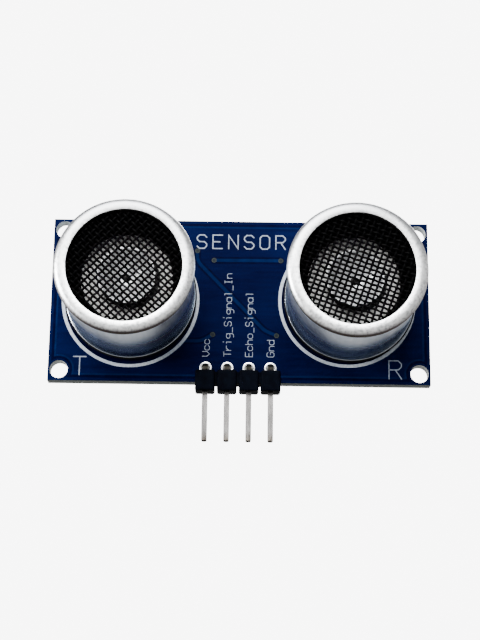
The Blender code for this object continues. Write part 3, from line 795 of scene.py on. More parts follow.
def make_board():
    """The laminate with its holes. Its faces carry the mask, and its edges show the glass fibre."""
    half_width = BOARD_WIDTH / 2
    half_height = BOARD_HEIGHT / 2
    outline = [
        Vector((-half_width, -half_height)),
        Vector((half_width, -half_height)),
        Vector((half_width, half_height)),
        Vector((-half_width, half_height)),
    ]
    loops = [outline]
    for x in (-MOUNTING_HOLE_X, MOUNTING_HOLE_X):
        for y in (-MOUNTING_HOLE_Y, MOUNTING_HOLE_Y):
            loops.append(circle((x, y), MOUNTING_HOLE_RADIUS, 2 * SMALL_ROUND))
    for x in HEADER_XS:
        loops.append(circle((x, HEADER_Y), HEADER_HOLE, SMALL_ROUND))
    for prefix in ("transmitter", "receiver"):
        for letter in ("a", "b"):
            hole = local_middle(f"{prefix}_terminal_{letter}")
            loops.append(circle(hole.xy, TERMINAL_HOLE, SMALL_ROUND))
    shape = pierced_plate(loops, BOARD_THICKNESS, BOARD_EDGE_ROUND)
    shape.normal_update()
    for face in shape.faces:
        middle = face.calc_center_median()
        aside = max(abs(abs(middle.x) - MOUNTING_HOLE_X), abs(abs(middle.y) - MOUNTING_HOLE_Y))
        if abs(face.normal.z) < 0.9:
            face.material_index = 2 if aside < MOUNTING_HOLE_RADIUS + MICRON else 1
    sides = (MASK, LAMINATE, HOLE_WALL)
    board = piece("board_laminate", shape, sides, FRONT, ("circuit_board",))
    for polygon in board.data.polygons:
        polygon.use_smooth = polygon.material_index > 0


def add_traces(gap, trace, lines):
    """Adds each line of millimetre points as a trace between two dark gaps in the copper."""
    for line in lines:
        path = rounded_path([mm(*point) for point in line], 2.2 * MM)
        ribbon(gap, path, 0.85 * MM, 0, MASK_RELIEF / 2)
        ribbon(trace, path, 0.4 * MM, 0, MASK_RELIEF)


def pour_edge(inset, clearance):
    """The outline of the copper area, as a closed loop that passes inside the mounting holes."""
    x = BOARD_WIDTH / 2 - inset
    y = BOARD_HEIGHT / 2 - inset
    rise = math.degrees(math.asin((x - MOUNTING_HOLE_X) / clearance))
    dip = math.degrees(math.asin((y - MOUNTING_HOLE_Y) / clearance))
    around = arc((MOUNTING_HOLE_X, MOUNTING_HOLE_Y), clearance, 270 + rise, 180 - dip, 12)
    loop = []
    for side_x, side_y, order in ((1, 1, 1), (-1, 1, -1), (-1, -1, 1), (1, -1, -1)):
        loop += [Vector((side_x * point.x, side_y * point.y)) for point in around[::order]]
    return loop


def ring_middle(prefix):
    """The centre of a transducer's printed ring, which isn't quite the can's own."""
    return local_middle(f"{prefix}_can").xy + mm(*RING_SHIFTS[prefix])


def make_copper(name, place, lines, vias):
    """What the copper under the mask shows on one side: traces, gaps, the pour's edge and the vias, and on the front a
    dark ring round each can's foot, which is painted shadow.
    """
    gap = bmesh.new()
    trace = bmesh.new()
    add_traces(gap, trace, lines)
    ribbon(gap, pour_edge(POUR_MARGIN, 1.45 * MM), 0.32 * MM, 0, MASK_RELIEF / 2, closed=True)
    ribbon(trace, pour_edge(POUR_MARGIN + 0.25 * MM, 1.7 * MM), 0.2 * MM, 0, MASK_RELIEF, closed=True)
    # Painted shadow: a dark ring of mask round the foot of each can.
    if place == FRONT:
        for prefix in ("transmitter", "receiver"):
            can_shadow_ring = circle(ring_middle(prefix), RING_INNER - 0.3 * MM, ROUND)
            ribbon(gap, can_shadow_ring, 0.62 * MM, 0, MASK_RELIEF * 1.2, closed=True)
    rings = bmesh.new()
    wells = bmesh.new()
    for via in vias:
        ribbon(rings, circle(mm(*via), 0.25 * MM, 20), 0.1 * MM, 0, 2.2 * MASK_RELIEF, closed=True)
        mound(wells, mm(*via), 0.46 * MM, 0.46 * MM, 1.6 * MASK_RELIEF, flat=0.8)
    piece(f"{name}_mask_gaps", gap, MASK_GAP_AND_SHADOW, place)
    piece(f"{name}_traces", trace, MASK_TRACE, place)
    piece(f"{name}_via_rings", rings, VIA_GREEN, place)
    piece(f"{name}_via_wells", wells, VIA_DARK, place)


def make_front_copper():
    lines = [
        [(-3.18, 5.03), (4.82, 5.08)],
        [(-5.2, 6.2), (-5.2, 4.9), (2.9, -3.6), (4.35, -4.24)],
        [(-7.1, -5.0), (-4.5, -5.0), (-3.2, -4.2)],
    ]
    make_copper("front", FRONT, lines, VIAS)


def make_back_copper():
    lines = [
        [(-8.5, 3.4), (-8.5, 6.4), (-1.9, 6.4), (-1.9, 3.9)],
        [(-6.9, 3.6), (-6.9, 5.1), (-3.2, 5.1), (-3.1, 4.0)],
        [(1.9, 3.9), (1.9, 6.4), (10.5, 6.4), (10.5, 3.9)],
        [(4.5, 3.9), (5.0, 4.9), (7.6, 4.9), (8.4, 4.2)],
        [(-8.7, 0.4), (-11.0, 0.7), (-12.7, 0.2), (-13.6, -0.9)],
        [(-2.8, -3.4), (-2.8, -5.8), (-5.5, -5.8), (-8.0, -7.9), (-15.7, -7.9), (-15.7, -2.5)],
        [(1.9, -3.4), (1.9, -4.3), (-0.7, -6.6), (-1.2, -7.1)],
        [(4.5, -3.4), (4.5, -4.9), (3.3, -5.9), (1.6, -6.9)],
        [(7.3, -2.7), (7.3, -4.4), (6.5, -5.4), (4.1, -7.0)],
        [(-6.3, -1.2), (-4.9, -0.6)],
        [(14.1, 5.25), (16.5, 5.2)],
        [(14.0, -4.75), (16.5, -4.75)],
        [(-8.7, -2.8), (-10.9, -3.5), (-12.1, -4.4)],
    ]
    vias = [(-x, y) for x, y in (*VIAS, HIDDEN_VIA)]
    make_copper("back", BACK, lines, vias)


def make_front_print():
    """White print on the front: a ring round each transducer, a title, T and R, and the pins' names."""
    rings = bmesh.new()
    for prefix in ("transmitter", "receiver"):
        loop = circle(ring_middle(prefix), RING_INNER + RING_WIDTH / 2, ROUND)
        ribbon(rings, loop, RING_WIDTH, 0, INK, closed=True)
    piece("front_rings", rings, RING_INK, FRONT)
    shape = bmesh.new()
    write(shape, "SENSOR", 1.7 * MM, mm(-5.25, 6.52), 0.13 * MM, length=10.6 * MM)
    write(shape, "T", 2.2 * MM, mm(-19.5, -9.3), 0.135 * MM)
    write(shape, "R", 2.2 * MM, mm(17.6, -9.3), 0.135 * MM)
    for x, name in zip(HEADER_XS, ("Vcc", "Trig_Signal_In", "Echo_Signal", "Gnd")):
        write(shape, name, 0.84 * MM, (x + 0.42 * MM, -6.85 * MM), 0.064 * MM, turn=90)
    piece("front_print", shape, THIN_INK, FRONT)


BACK_LABELS = (
    ("R6", -10.6, 2.85),
    ("R5", -10.6, 1.35),
    ("C2", -10.65, -0.1),
    ("R4", -10.6, -1.65),
    ("R3", -10.6, -3.2),
    ("R1", 9.6, 2.1),
    ("R2", 9.6, 0.5),
    ("C3", 9.6, -1.1),
    ("C1", 9.6, -2.7),
    ("U1", -0.55, 4.7),
    ("R", -10.35, -5.8),
    ("T", 10.1, -5.85),
    ("M1", 16.75, 6.2),
    ("R7", 16.8, 3.2),
    ("M2", 17.0, -3.65),
    ("R8", 16.95, -6.9),
    ("J1", -6.95, -8.95),
)
TABLE_ROWS = (("0", "0", "ECHO"), ("0", "1", "BUS"), ("1", "0", "DATA"), ("1", "1", "SINGLE"))
TABLE_TOP = mm(-21.6, 3.27)
TABLE_COLUMNS = (0.0, 2.7 * MM, 4.45 * MM)
TABLE_PITCH = 1.46 * MM
LABEL_HEIGHT = 0.98 * MM
LABEL_STROKE = 0.115 * MM
HEADER_BOX = (mm(-4.77, -9.7), mm(5.61, -7.05))
HEADER_DIVIDER = -2.05 * MM


def box_loop(low, high):
    return [Vector((low.x, low.y)), Vector((high.x, low.y)), Vector((high.x, high.y)), Vector((low.x, high.y))]


def make_back_print():
    """White print on the back: a title, the parts' numbers, a table of settings and the header's box."""
    shape = bmesh.new()
    write(shape, "DISTANCE sensor", 1.36 * MM, mm(-8.4, 7.45), 0.135 * MM, length=17.7 * MM)
    for name, x, y in BACK_LABELS:
        write(shape, name, LABEL_HEIGHT, mm(x, y), LABEL_STROKE)
    write(shape, "REV 1", LABEL_HEIGHT, mm(12.3, -8.5), LABEL_STROKE)
    for column, name in zip(TABLE_COLUMNS, ("M1", "M2")):
        write(shape, name, LABEL_HEIGHT, TABLE_TOP + Vector((column, 0)), LABEL_STROKE)
    for row, entries in enumerate(TABLE_ROWS, start=1):
        for column, entry in zip(TABLE_COLUMNS, entries):
            start = TABLE_TOP + Vector((column, -row * TABLE_PITCH))
            write(shape, entry, LABEL_HEIGHT, start, LABEL_STROKE)
    low, high = HEADER_BOX
    ribbon(shape, box_loop(low, high), 0.18 * MM, 0, INK, closed=True)
    divider = [Vector((HEADER_DIVIDER, low.y)), Vector((HEADER_DIVIDER, high.y))]
    ribbon(shape, divider, 0.16 * MM, 0, INK + INK_STEP)
    bracket = [mm(5.1, 1.62), mm(5.55, 1.62), mm(5.55, -1.15), mm(5.1, -1.15)]
    ribbon(shape, bracket, 0.17 * MM, 0, INK)
    piece("back_print", shape, WHITE_INK, BACK)
    field = bmesh.new()
    middle = (low.y + high.y) / 2
    ends = [Vector((low.x + 0.09 * MM, middle)), Vector((high.x - 0.09 * MM, middle))]
    sections = line_sides(ends, high.y - low.y - 0.18 * MM, closed=False)
    outline = [sections[0][0], sections[0][1], sections[1][1], sections[1][0]]
    for height in (0, MASK_RELIEF):
        field.faces.new([field.verts.new((*point, height)) for point in outline])
    field.verts.ensure_lookup_table()
    for index in range(4):
        after = (index + 1) % 4
        field.faces.new([field.verts[number] for number in (index, after, after + 4, index + 4)])
    piece("header_box_field", field, MASK_DARK, BACK)


# The transducers


def can_profile():
    """The can's wall: a flat rim with a rolled edge, a groove under it, the side and the inside."""
    half_roll = RIM_HEIGHT / 2
    roll = [
        (ROLL_RADIUS - ROLL_WIDTH + ROLL_WIDTH * point.x, CAN_TOP - half_roll + half_roll * point.y)
        for point in arc((0, 0), 1, 90, -58, 18)
    ]
    lip = 0.07 * MM
    groove = 0.06 * MM
    under_rim = CAN_TOP - RIM_HEIGHT
    foot_round = 0.12 * MM
    return [
        *arc((OPENING_RADIUS + lip, CAN_TOP - lip), lip, 180, 90, 4),
        *roll,
        (CAN_RADIUS + 0.02 * MM, under_rim + 0.02 * MM),
        (CAN_RADIUS - groove, under_rim - 0.04 * MM),
        (CAN_RADIUS - groove, under_rim - 0.12 * MM),
        (CAN_RADIUS, under_rim - 0.2 * MM),
        (CAN_RADIUS, under_rim - 0.6 * MM),
        (CAN_RADIUS, CAN_FOOT + 0.8 * MM),
        (CAN_RADIUS, CAN_FOOT + 0.28 * MM),
        (CAN_RADIUS + 0.05 * MM, CAN_FOOT + 0.18 * MM),
        *arc((CAN_RADIUS - 0.02 * MM, CAN_FOOT + foot_round), foot_round, 20, -90, 5),
        (CAN_INSIDE, CAN_FOOT),
        (CAN_INSIDE, CAN_TOP - RIM_PLATE),
        (OPENING_RADIUS, CAN_TOP - RIM_PLATE),
    ]


def make_can(prefix, axis):
    shape = turned(can_profile(), closed=True)
    for face in shape.faces:
        middle = face.calc_center_median()
        if middle.xy.length < CAN_INSIDE + MICRON and middle.z < CAN_TOP - RIM_PLATE / 2:
            face.material_index = 2
        elif middle.z < CAN_TOP - RIM_HEIGHT:
            face.material_index = 1
    metals = (RIM_METAL, WALL_METAL, CAN_BLACK)
    piece(f"{prefix}_can_shell", shape, metals, axis, (f"{prefix}_can",))


def make_screen(prefix, axis):
    """The woven screen: two families of wires that pass over and under each other."""
    shape = bmesh.new()
    swing = SCREEN_WIRE * 1.03
    middle = SCREEN_TOP - swing - SCREEN_WIRE
    fine, coarse = SCREEN_PITCHES
    for turn, pitch, crossing, sign in ((90, fine, coarse, 1), (0, coarse, fine, -1)):
        angle = math.radians(SCREEN_TURNS[prefix] + turn)
        along = Vector((math.cos(angle), math.sin(angle), 0))
        across = Vector((-along.y, along.x, 0))
        reach = int(SCREEN_RADIUS / pitch)
        for number in range(-reach, reach + 1):
            offset = number * pitch
            half = math.sqrt(SCREEN_RADIUS**2 - offset**2) - SCREEN_WIRE
            if half < crossing:
                continue
            steps = max(4, round(8 * half / crossing))
            path = []
            for step in range(steps + 1):
                travel = -half + 2 * half * step / steps
                wave = math.cos(math.pi * (travel / crossing + number))
                path.append(across * offset + along * travel + Vector((0, 0, middle + sign * swing * wave)))
            tube(shape, path, across, SCREEN_WIRE, 6)
    piece(f"{prefix}_woven_screen", shape, BLACK_WIRE, axis, (f"{prefix}_screen",))


def make_cone(prefix, axis):
    """The cone, a thin spun shell, and the drop of glue that holds it."""
    rise = CONE_TOP - CONE_LOW
    run = CONE_RADIUS - CONE_FOOT
    outer = []
    inner = []
    steps = 10
    for step in range(steps + 1):
        share = step / steps
        height = CONE_LOW + rise * (0.45 * share + 0.55 * share**2)
        outer.append((CONE_FOOT + run * share, height))
        inner.append((CONE_FOOT + run * share - CONE_WALL * 0.9, height + CONE_WALL * 0.5 * (1 - share)))
    profile = [(0, CONE_LOW), *outer, *reversed(inner), (0, CONE_LOW + CONE_WALL)]
    shape = turned(profile)
    piece(f"{prefix}_spun_cone", shape, CONE_METAL, axis, (f"{prefix}_cone",))
    # Painted shadow: a dark ring on the plate under the cone's lip, shifted towards the lower right, where the lip's
    # shadow falls.
    shadow_crescent = turned(
        [(2.9 * MM, 0), (3.5 * MM, 0), (3.45 * MM, 0.05 * MM), (2.95 * MM, 0.05 * MM)], ROUND // 2, closed=True
    )
    place = axis @ Matrix.Translation((0.3 * MM, -0.06 * MM, PLATE_TOP))
    piece(f"{prefix}_cone_shadow_crescent", shadow_crescent, DARK_GLUE_AND_SHADOW, place)
    glue = bmesh.new()
    mound(glue, (0, 0), 0.95 * MM, 0.95 * MM, 0.3 * MM)
    wobble(glue, 0.08 * MM, 0.3 * MM, 3.0)
    place = axis @ Matrix.Translation((0, 0, CONE_LOW + CONE_WALL))
    piece(f"{prefix}_cone_glue", glue, DARK_GLUE_AND_SHADOW, place)


def make_plate(prefix, axis):
    edge = 0.05 * MM
    profile = [
        (0, PLATE_LOW),
        (PLATE_RADIUS - edge, PLATE_LOW),
        (PLATE_RADIUS, PLATE_LOW + edge),
        *arc((PLATE_RADIUS - edge, PLATE_TOP - edge), edge, 0, 90, 3),
        (PLATE_RADIUS - 0.5 * MM, PLATE_TOP),
        (0, PLATE_TOP),
    ]
    shape = turned(profile)
    piece(f"{prefix}_plate", shape, PLATE_METAL, axis, (f"{prefix}_vibrator_plate",))


def make_base(prefix, axis):
    """The moulded base: a plug inside the can, on a flange with rounded edges."""
    low = local_box(f"{prefix}_base")[0].z
    flange = CAN_FOOT - 0.04 * MM
    edge = 0.08 * MM
    plug = CAN_INSIDE - 0.04 * MM
    profile = [
        (0, low),
        (BASE_RADIUS - edge, low),
        *arc((BASE_RADIUS - edge, flange - edge), edge, 0, 90, 4),
        (plug, flange),
        (plug, BASE_TOP - edge),
        (plug - edge, BASE_TOP),
        (0, BASE_TOP),
    ]
    piece(f"{prefix}_moulded_base", turned(profile), BASE_BLACK, axis, (f"{prefix}_base",))


def make_terminal(prefix, letter, seed):
    """One terminal and its solder joint on the back. The receiver's joints close over the wire's end."""
    node = f"{prefix}_terminal_{letter}"
    place = BACK @ Matrix.Translation((*local_middle(node, BACK).xy, 0))
    covered = prefix == "receiver"
    chamfer = TERMINAL_RADIUS / 4
    depth = BOARD_THICKNESS + TERMINAL_TOP
    wire = [
        (0, -depth),
        (TERMINAL_RADIUS, -depth),
        (TERMINAL_RADIUS, TERMINAL_TAIL - chamfer),
        (TERMINAL_RADIUS - chamfer, TERMINAL_TAIL),
        (0, TERMINAL_TAIL),
    ]
    shape = turned(wire, SMALL_ROUND)
    for face in shape.faces:
        face.material_index = 1 if face.calc_center_median().z > TERMINAL_TAIL - chamfer else 0
    piece(f"{node}_wire", shape, (TIN, COPPER_END), place, (node,))
    bore = TERMINAL_RADIUS - 0.02 * MM
    crown = TERMINAL_TAIL - 0.16 * MM
    fill = [(bore, -BOARD_THICKNESS * 0.98), (TERMINAL_HOLE - 0.01 * MM, -BOARD_THICKNESS * 0.98)]
    skirt = [(TERMINAL_HOLE - 0.01 * MM, 0), (1.0 * MM, 0)]
    if covered:
        slope = [(0.97, 0.06), (0.88, 0.2), (0.74, 0.42), (0.56, 0.7), (0.36, 0.95), (0.18, 1.1), (0, 1.16)]
        profile = [(0, -BOARD_THICKNESS * 0.98), *fill[1:], *skirt]
        profile += [(out * MM, up * MM) for out, up in slope]
        joint = turned(profile, 48)
        wobble(joint, 0.34 * MM, 0.55 * MM, seed)
    else:
        slope = [(0.97, 0.05), (0.86, 0.13), (0.72, 0.24), (0.58, 0.4), (0.48, 0.58)]
        profile = [*fill, *skirt, *[(out * MM, up * MM) for out, up in slope]]
        profile += [(0.41 * MM, crown), (bore, crown + 0.03 * MM)]
        joint = turned(profile, 48, closed=True)
        wobble(joint, 0.1 * MM, 0.5 * MM, seed)
    solder = f"{prefix}_solder_{letter}"
    piece(f"{solder}_joint", joint, SHADED_JOINT_SOLDER, place, (solder,))


def make_flux(name, centre, radius, seed, material=FLUX):
    """A thin, uneven skin round a joint."""
    shape = bmesh.new()
    steps = 48
    offset = Vector((seed, 0, 0))
    rings = []
    for share, height in ((1.0, 0.0), (0.93, 0.008), (0.6, 0.02), (0.2, 0.03)):
        ring = []
        for spoke in circle((0, 0), 1, steps):
            reach = radius * share * (1 + 0.18 * noise.noise(Vector((*spoke, 0)) * 1.6 + offset))
            ring.append(shape.verts.new((centre.x + spoke.x * reach, centre.y + spoke.y * reach, height * MM)))
        rings.append(ring)
    for lower, upper in zip(rings, rings[1:]):
        for index in range(steps):
            shape.faces.new((lower[index - 1], lower[index], upper[index], upper[index - 1]))
    shape.faces.new(rings[0])
    shape.faces.new(rings[-1])
    piece(name, shape, material, BACK)


def make_spatter(prefix, centre, seed):
    """Small beads of solder round a joint."""
    chance = random.Random(seed)
    shape = bmesh.new()
    for _ in range(11):
        angle = chance.uniform(0, 2 * math.pi)
        reach = chance.uniform(1.1, 2.0) * MM
        size = chance.uniform(0.05, 0.13) * MM
        place = (centre.x + reach * math.cos(angle), centre.y + reach * math.sin(angle))
        mound(shape, place, size * 1.5, size, size * 0.35, turn=math.degrees(angle), steps=3)
    piece(prefix, shape, SHADED_JOINT_SOLDER, BACK)


def make_transducer(prefix):
    axis = FRONT @ Matrix.Translation((*local_middle(f"{prefix}_can").xy, 0))
    make_can(prefix, axis)
    make_screen(prefix, axis)
    make_cone(prefix, axis)
    make_plate(prefix, axis)
    make_base(prefix, axis)
    for number, letter in enumerate("ab"):
        seed = 5.3 * number + (11.7 if prefix == "receiver" else 2.1)
        make_terminal(prefix, letter, seed)
        centre = local_middle(f"{prefix}_terminal_{letter}", BACK)
        make_flux(f"{prefix}_flux_{letter}", centre, 1.35 * MM, seed)
        if prefix == "receiver":
            make_spatter(f"{prefix}_spatter_{letter}", centre, number)


# The pin header


def make_header():
    """Rings on the front and joints on the back, and the strip. The CAD pins stay, with finer edges."""
    rings = bmesh.new()
    for x in HEADER_XS:
        bead = (HEADER_PAD - PIN_BORE) / 2
        profile = [(PIN_BORE, 0), *arc((PIN_BORE + bead, 0.01 * MM), bead, 180, 0, 8), (HEADER_PAD, 0)]
        ring = turned([(radius, height * 0.45) for radius, height in profile], SMALL_ROUND, closed=True)
        stamp(rings, ring, Matrix.Translation((x, HEADER_Y, 0)))
        ring.free()
    piece("header_front_pads", rings, TIN, FRONT)
    corner = PIN_SIZE / 2
    for number, x in zip(HEADER_NUMBERS, HEADER_XS):
        low = -BOARD_THICKNESS - 0.02 * MM
        fill = HEADER_HOLE - 0.01 * MM
        profile = [
            (0, low),
            (fill, low),
            (fill, 0),
            (0.78 * MM, 0),
            (0.76 * MM, 0.06 * MM),
            (0.68 * MM, 0.22 * MM),
            (0.58 * MM, 0.48 * MM),
            (corner + 0.14 * MM, 0.75 * MM),
            (corner + 0.02 * MM, 0.9 * MM),
            (0, 0.93 * MM),
        ]
        joint = turned(profile, 40)
        # Painted shade: the solder inside the hole takes the near-black shaded solder.
        for face in joint.faces:
            face.material_index = 1 if face.calc_center_median().z < 0 else 0
        wobble(joint, 0.12 * MM, 0.45 * MM, 7.7 * number)
        place = BACK @ Matrix.Translation((-x, HEADER_Y, 0))
        node = f"header_solder_{number}"
        piece(f"{node}_joint", joint, (SHADED_JOINT_SOLDER, SHADED_SOLDER), place, (node,))
        soften(f"header_pin_{number}", PIN_METAL, 0.035 * MM)
    make_strip()


def make_strip():
    """The header's plastic: one block per pin, joined by webs that stop short of the underside."""
    low, high = local_box("header_housing")
    middle = (low + high) / 2
    size = high - low
    pitch = HEADER_XS[1] - HEADER_XS[0]
    shape = bmesh.new()
    for x in HEADER_XS:
        block = rounded_box((pitch - BLOCK_GAP, size.y, size.z), (x, middle.y, middle.z), BLOCK_CHAMFER, 2)
        stamp(shape, block, Matrix.Identity(4))
        block.free()
    web_size = (BLOCK_GAP + 2 * BLOCK_CHAMFER, size.y - BLOCK_SLOT - BLOCK_CHAMFER, size.z - 2.4 * BLOCK_CHAMFER)
    for x in HEADER_XS[:-1]:
        web_middle = (x + pitch / 2, middle.y + (BLOCK_SLOT - BLOCK_CHAMFER) / 2, middle.z)
        web = rounded_box(web_size, web_middle, 0.03 * MM, 1)
        stamp(shape, web, Matrix.Identity(4))
        web.free()
    piece("header_strip", shape, HEADER_PLASTIC, FRONT, ("header_housing",), flat_sides=True)


def dress(node, material):
    """Gives a CAD node a finer material."""
    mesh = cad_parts[node].data
    mesh.materials.clear()
    mesh.materials.append(material)


def soften(node, material, edge):
    """Gives a CAD node a finer material and rounded edges."""
    dress(node, material)
    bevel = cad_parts[node].modifiers.new("soft_edges", "BEVEL")
    bevel.width = edge
    bevel.segments = 2
    bevel.limit_method = "ANGLE"
    bevel.angle_limit = math.radians(30)
    bevel.use_clamp_overlap = True
    even_shading(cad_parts[node])


# The chip and the small parts


def lead_xs():
    first = -LEAD_PITCH * (LEADS_PER_SIDE - 1) / 2
    return [first + LEAD_PITCH * index for index in range(LEADS_PER_SIDE)]


def make_chip():
    """The moulded body with its drafted sides, the bent leads, and the solder on their pads."""
    place = BACK @ Matrix.Translation((CHIP_MIDDLE.x, CHIP_MIDDLE.y, 0))
    draft = 0.13 * MM
    body = bmesh.new()
    loops = []
    for height, inset in ((chip_low.z, draft), (CHIP_MIDDLE.z, 0), (chip_high.z, draft)):
        x = CHIP_SIZE.x / 2 - inset
        y = CHIP_SIZE.y / 2 - inset
        loops.append([body.verts.new((a * x, b * y, height)) for a, b in ((-1, -1), (1, -1), (1, 1), (-1, 1))])
    for lower, upper in zip(loops, loops[1:]):
        for index in range(4):
            body.faces.new((lower[index - 1], lower[index], upper[index], upper[index - 1]))
    body.faces.new(loops[0])
    body.faces.new(loops[-1])
    bmesh.ops.recalc_face_normals(body, faces=body.faces)
    bmesh.ops.bevel(body, geom=body.edges[:], offset=0.06 * MM, segments=3, profile=0.5, affect="EDGES")
    epoxy = piece("chip_moulding", body, CHIP_EPOXY, place, ("chip_body",), flat_sides=True)
    sink(epoxy, place @ Matrix.Translation((-3.75 * MM, -0.95 * MM, chip_high.z)), 0.42 * MM, 0.05 * MM)

    half = LEAD_THICKNESS / 2
    foot = half + 0.04 * MM
    bend = LEAD_SPAN / 2 - 0.52 * MM
    corners = [
        (CHIP_SIZE.y / 2 - 0.3 * MM, CHIP_MIDDLE.z),
        (bend - 0.3 * MM, CHIP_MIDDLE.z),
        (bend, foot),
        (LEAD_SPAN / 2, foot),
    ]
    lead = bent_strip(corners, LEAD_THICKNESS, LEAD_WIDTH, LEAD_THICKNESS)
    bmesh.ops.recalc_face_normals(lead, faces=lead.faces)
    # Painted shade: the leads' sloped faces and sides take the near-black shaded solder.
    for face in lead.faces:
        face.material_index = 1 if abs(face.normal.z) < 0.8 else 0
    leads = bmesh.new()
    pads = bmesh.new()
    for number, x in enumerate(lead_xs()):
        for side in (0, 1):
            turn = Matrix.Rotation(math.pi * side, 4, "Z")
            stamp(leads, lead, turn @ Matrix.Translation((x, 0, 0)))
            drop = bmesh.new()
            mound(drop, (0, 0), 1.4 * MM, 0.66 * MM, 0.26 * MM, turn=90, flat=0.35)
            wobble(drop, 0.05 * MM, 0.3 * MM, 1.3 * number + side)
            stamp(pads, drop, turn @ Matrix.Translation((x, LEAD_SPAN / 2 + 0.12 * MM, 0)))
            drop.free()
    lead.free()
    piece("chip_leads", leads, (TIN, SHADED_SOLDER), place, ("chip_lead_frame",))
    piece("chip_lead_solder", pads, SOLDER, place)


def sink(item, place, radius, depth):
    """Cuts a shallow round dimple into a piece, centred on a point of its surface."""
    height = radius * 0.6
    cutter_shape = turned([(0, -depth), (radius * 0.9, -depth), (radius, height), (0, height)], SMALL_ROUND)
    bmesh.ops.recalc_face_normals(cutter_shape, faces=cutter_shape.faces)
    mesh = bpy.data.meshes.new("cutter")
    cutter_shape.to_mesh(mesh)
    cutter_shape.free()
    mesh.transform(place)
    cutter = bpy.data.objects.new("cutter", mesh)
    bpy.context.scene.collection.objects.link(cutter)
    cut = item.modifiers.new("dimple", "BOOLEAN")
    cut.operation = "DIFFERENCE"
    cut.object = cutter
    result = bpy.data.meshes.new_from_object(item.evaluated_get(bpy.context.evaluated_depsgraph_get()))
    item.modifiers.remove(cut)
    result.set_sharp_from_angle(angle=SMOOTH_ANGLE)
    item.data = result
    bpy.data.objects.remove(cutter)


def make_small_part(node):
    """A chip resistor or capacitor: ceramic body, wrapped end caps, and solder on its two pads."""
    low, high = local_box(node, BACK)
    size = high - low
    middle = (low + high) / 2
    place = BACK @ Matrix.Translation((middle.x, middle.y, 0))
    resistor = node.startswith("resistor")
    ceramic = RESISTOR_GLAZE if resistor else CAPACITOR_CERAMIC
    cap_length = 0.34 * MM
    lift = low.z
    skin = 0.02 * MM
    body_size = (size.x - 0.1 * MM, size.y - 2 * skin, size.z - 2 * skin)
    body = rounded_box(body_size, (0, 0, lift + size.z / 2), 0.04 * MM)
    piece(f"{node}_ceramic", body, ceramic, place, (node,), flat_sides=True)
    caps = bmesh.new()
    solder = bmesh.new()
    for side in (-1, 1):
        centre = (side * (size.x - cap_length) / 2, 0, lift + size.z / 2)
        cap = rounded_box((cap_length, size.y, size.z), centre, 0.07 * MM)
        stamp(caps, cap, Matrix.Identity(4))
        cap.free()
        drop = rounded_box((0.66 * MM, 0.84 * MM, size.z * 0.6), (0, 0, size.z * 0.28), 0.1 * MM)
        wobble(drop, 0.09 * MM, 0.4 * MM, middle.y / MM + side)
        stamp(solder, drop, Matrix.Translation((side * (size.x / 2 + 0.03 * MM), 0, 0)))
        drop.free()
    piece(f"{node}_caps", caps, TIN, place, flat_sides=True)
    piece(f"{node}_solder", solder, SOLDER, place)


def make_bare_pads():
    """The tinned pads of two places that carry no part."""
    shape = bmesh.new()
    for row, y in enumerate((5.15, -4.78)):
        for column, x in enumerate((16.95, 18.42)):
            drop = rounded_box((0.92 * MM, 0.86 * MM, 0.16 * MM), (0, 0, 0.02 * MM), 0.07 * MM)
            wobble(drop, 0.05 * MM, 0.4 * MM, 2.0 * row + column)
            stamp(shape, drop, Matrix.Translation((x * MM, y * MM, 0)))
            drop.free()
    piece("bare_pads", shape, SOLDER, BACK)


def dress_inside():
    """Finer materials for the CAD nodes that stay."""
    for prefix in ("transmitter", "receiver"):
        dress(f"{prefix}_piezo_disc", CERAMIC)
        dress(f"{prefix}_damping_pad", SILICONE)
        dress(f"{prefix}_lead_wire_a", INSULATION)
        dress(f"{prefix}_lead_wire_b", INSULATION)
    dress("chip_die", SILICON)


# The stage


def floor_material():
    """Pale to the camera and darker to the light that would bounce up from it.

    It fades out away from the sensor, and is clear from below, where the camera looks up past the board.
    """
    nodes = Nodes("pale_floor")
    seen = nodes.add("ShaderNodeLightPath").outputs["Is Camera Ray"]
    nodes.set(Base_Color=nodes.mix(seen, (0.12, 0.12, 0.12, 1), (0.82, 0.82, 0.82, 1)), Roughness=0.7)
    distance = nodes.add("ShaderNodeVectorMath", Vector=nodes.place)
    distance.operation = "LENGTH"
    far = nodes.between(distance.outputs["Value"], 0.0, 1.0, 0.1, 0.42)
    below = nodes.add("ShaderNodeNewGeometry").outputs["Backfacing"]
    mixer = nodes.add("ShaderNodeMixShader")
    nodes.put(mixer, 0, nodes.combine("MAXIMUM", far, below))
    nodes.put(mixer, 1, nodes.shader.outputs[0])
    nodes.put(mixer, 2, nodes.add("ShaderNodeBsdfTransparent").outputs[0])
    nodes.put(nodes.tree.nodes["Material Output"], "Surface", mixer.outputs[0])
    return nodes.material


def make_floor():
    reach = 3.0
    height = cad_box[0].z - 0.02 * MM
    shape = bmesh.new()
    shape.faces.new([shape.verts.new((x * reach, y * reach, height)) for x, y in ((-1, -1), (1, -1), (1, 1), (-1, 1))])
    mesh = bpy.data.meshes.new("floor")
    shape.to_mesh(mesh)
    shape.free()
    mesh.materials.append(floor_material())
    floor = bpy.data.objects.new("floor", mesh)
    bpy.context.scene.collection.objects.link(floor)


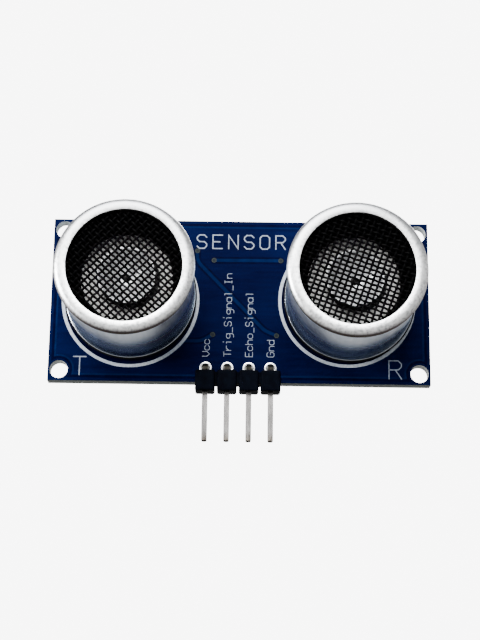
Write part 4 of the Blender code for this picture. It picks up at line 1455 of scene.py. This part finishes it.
def make_world(light, shown):
    """A soft light from all round, darker from below; the camera itself sees plain white."""
    world = bpy.data.worlds.new("studio")
    bpy.context.scene.world = world
    world.use_nodes = True
    nodes = world.node_tree.nodes
    links = world.node_tree.links
    lit = nodes["Background"]
    lit.inputs["Color"].default_value = (1, 1, 1, 1)
    height = nodes.new("ShaderNodeSeparateXYZ")
    links.new(nodes.new("ShaderNodeTexCoord").outputs["Generated"], height.inputs[0])
    rising = nodes.new("ShaderNodeMapRange")
    links.new(height.outputs["Z"], rising.inputs[0])
    for index, value in enumerate((-0.5, 0.25, light / 8, light), start=1):
        rising.inputs[index].default_value = value
    links.new(rising.outputs[0], lit.inputs["Strength"])
    seen = nodes.new("ShaderNodeBackground")
    seen.inputs["Color"].default_value = (1, 1, 1, 1)
    seen.inputs["Strength"].default_value = shown
    mixer = nodes.new("ShaderNodeMixShader")
    links.new(nodes.new("ShaderNodeLightPath").outputs["Is Camera Ray"], mixer.inputs[0])
    links.new(lit.outputs[0], mixer.inputs[1])
    links.new(seen.outputs[0], mixer.inputs[2])
    links.new(mixer.outputs[0], nodes["World Output"].inputs["Surface"])


def make_lamp(name, place, size, power, target):
    lamp = bpy.data.lights.new(name, "AREA")
    lamp.shape = "RECTANGLE"
    lamp.size, lamp.size_y = size
    lamp.energy = power
    item = bpy.data.objects.new(name, lamp)
    item.location = place
    item.rotation_euler = (target - Vector(place)).to_track_quat("-Z", "Y").to_euler()
    bpy.context.scene.collection.objects.link(item)


def make_camera():
    """A long lens in front of the board and a little to the pins' side of it."""
    distance = 173.5 * MM
    elevation = math.radians(-16.5)
    azimuth = math.radians(-0.2)
    roll = math.radians(0.75)
    away = Vector((math.sin(azimuth) * math.cos(elevation), -math.cos(azimuth) * math.cos(elevation), math.sin(elevation)))
    data = bpy.data.cameras.new("camera")
    data.lens = 82.0
    data.clip_start = 0.005
    camera = bpy.data.objects.new("camera", data)
    camera.location = FRONT.translation + away * distance
    target = (cad_box[0] + cad_box[1]) / 2
    look = (target - camera.location).to_track_quat("-Z", "Y").to_matrix().to_4x4()
    camera.rotation_euler = (look @ Matrix.Rotation(roll, 4, "Z")).to_euler()
    bpy.context.scene.collection.objects.link(camera)
    bpy.context.scene.camera = camera
    return target


def make_stage():
    make_floor()
    make_world(light=1.1, shown=8.0)
    target = make_camera()
    make_lamp("softbox_above", (-0.06, -0.32, 0.27), (0.3, 0.28), 8.2, target)
    make_lamp("softbox_left", (-0.33, -0.22, 0.04), (0.18, 0.16), 5.2, target)
    make_lamp("softbox_behind", (0.05, 0.25, 0.33), (0.3, 0.3), 7.0, target)


def main():
    make_board()
    make_front_copper()
    make_back_copper()
    make_front_print()
    make_back_print()
    make_transducer("transmitter")
    make_transducer("receiver")
    make_header()
    make_chip()
    for node in sorted(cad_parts):
        if node.startswith(("resistor", "capacitor")):
            make_small_part(node)
    make_bare_pads()
    dress_inside()
    make_stage()


main()
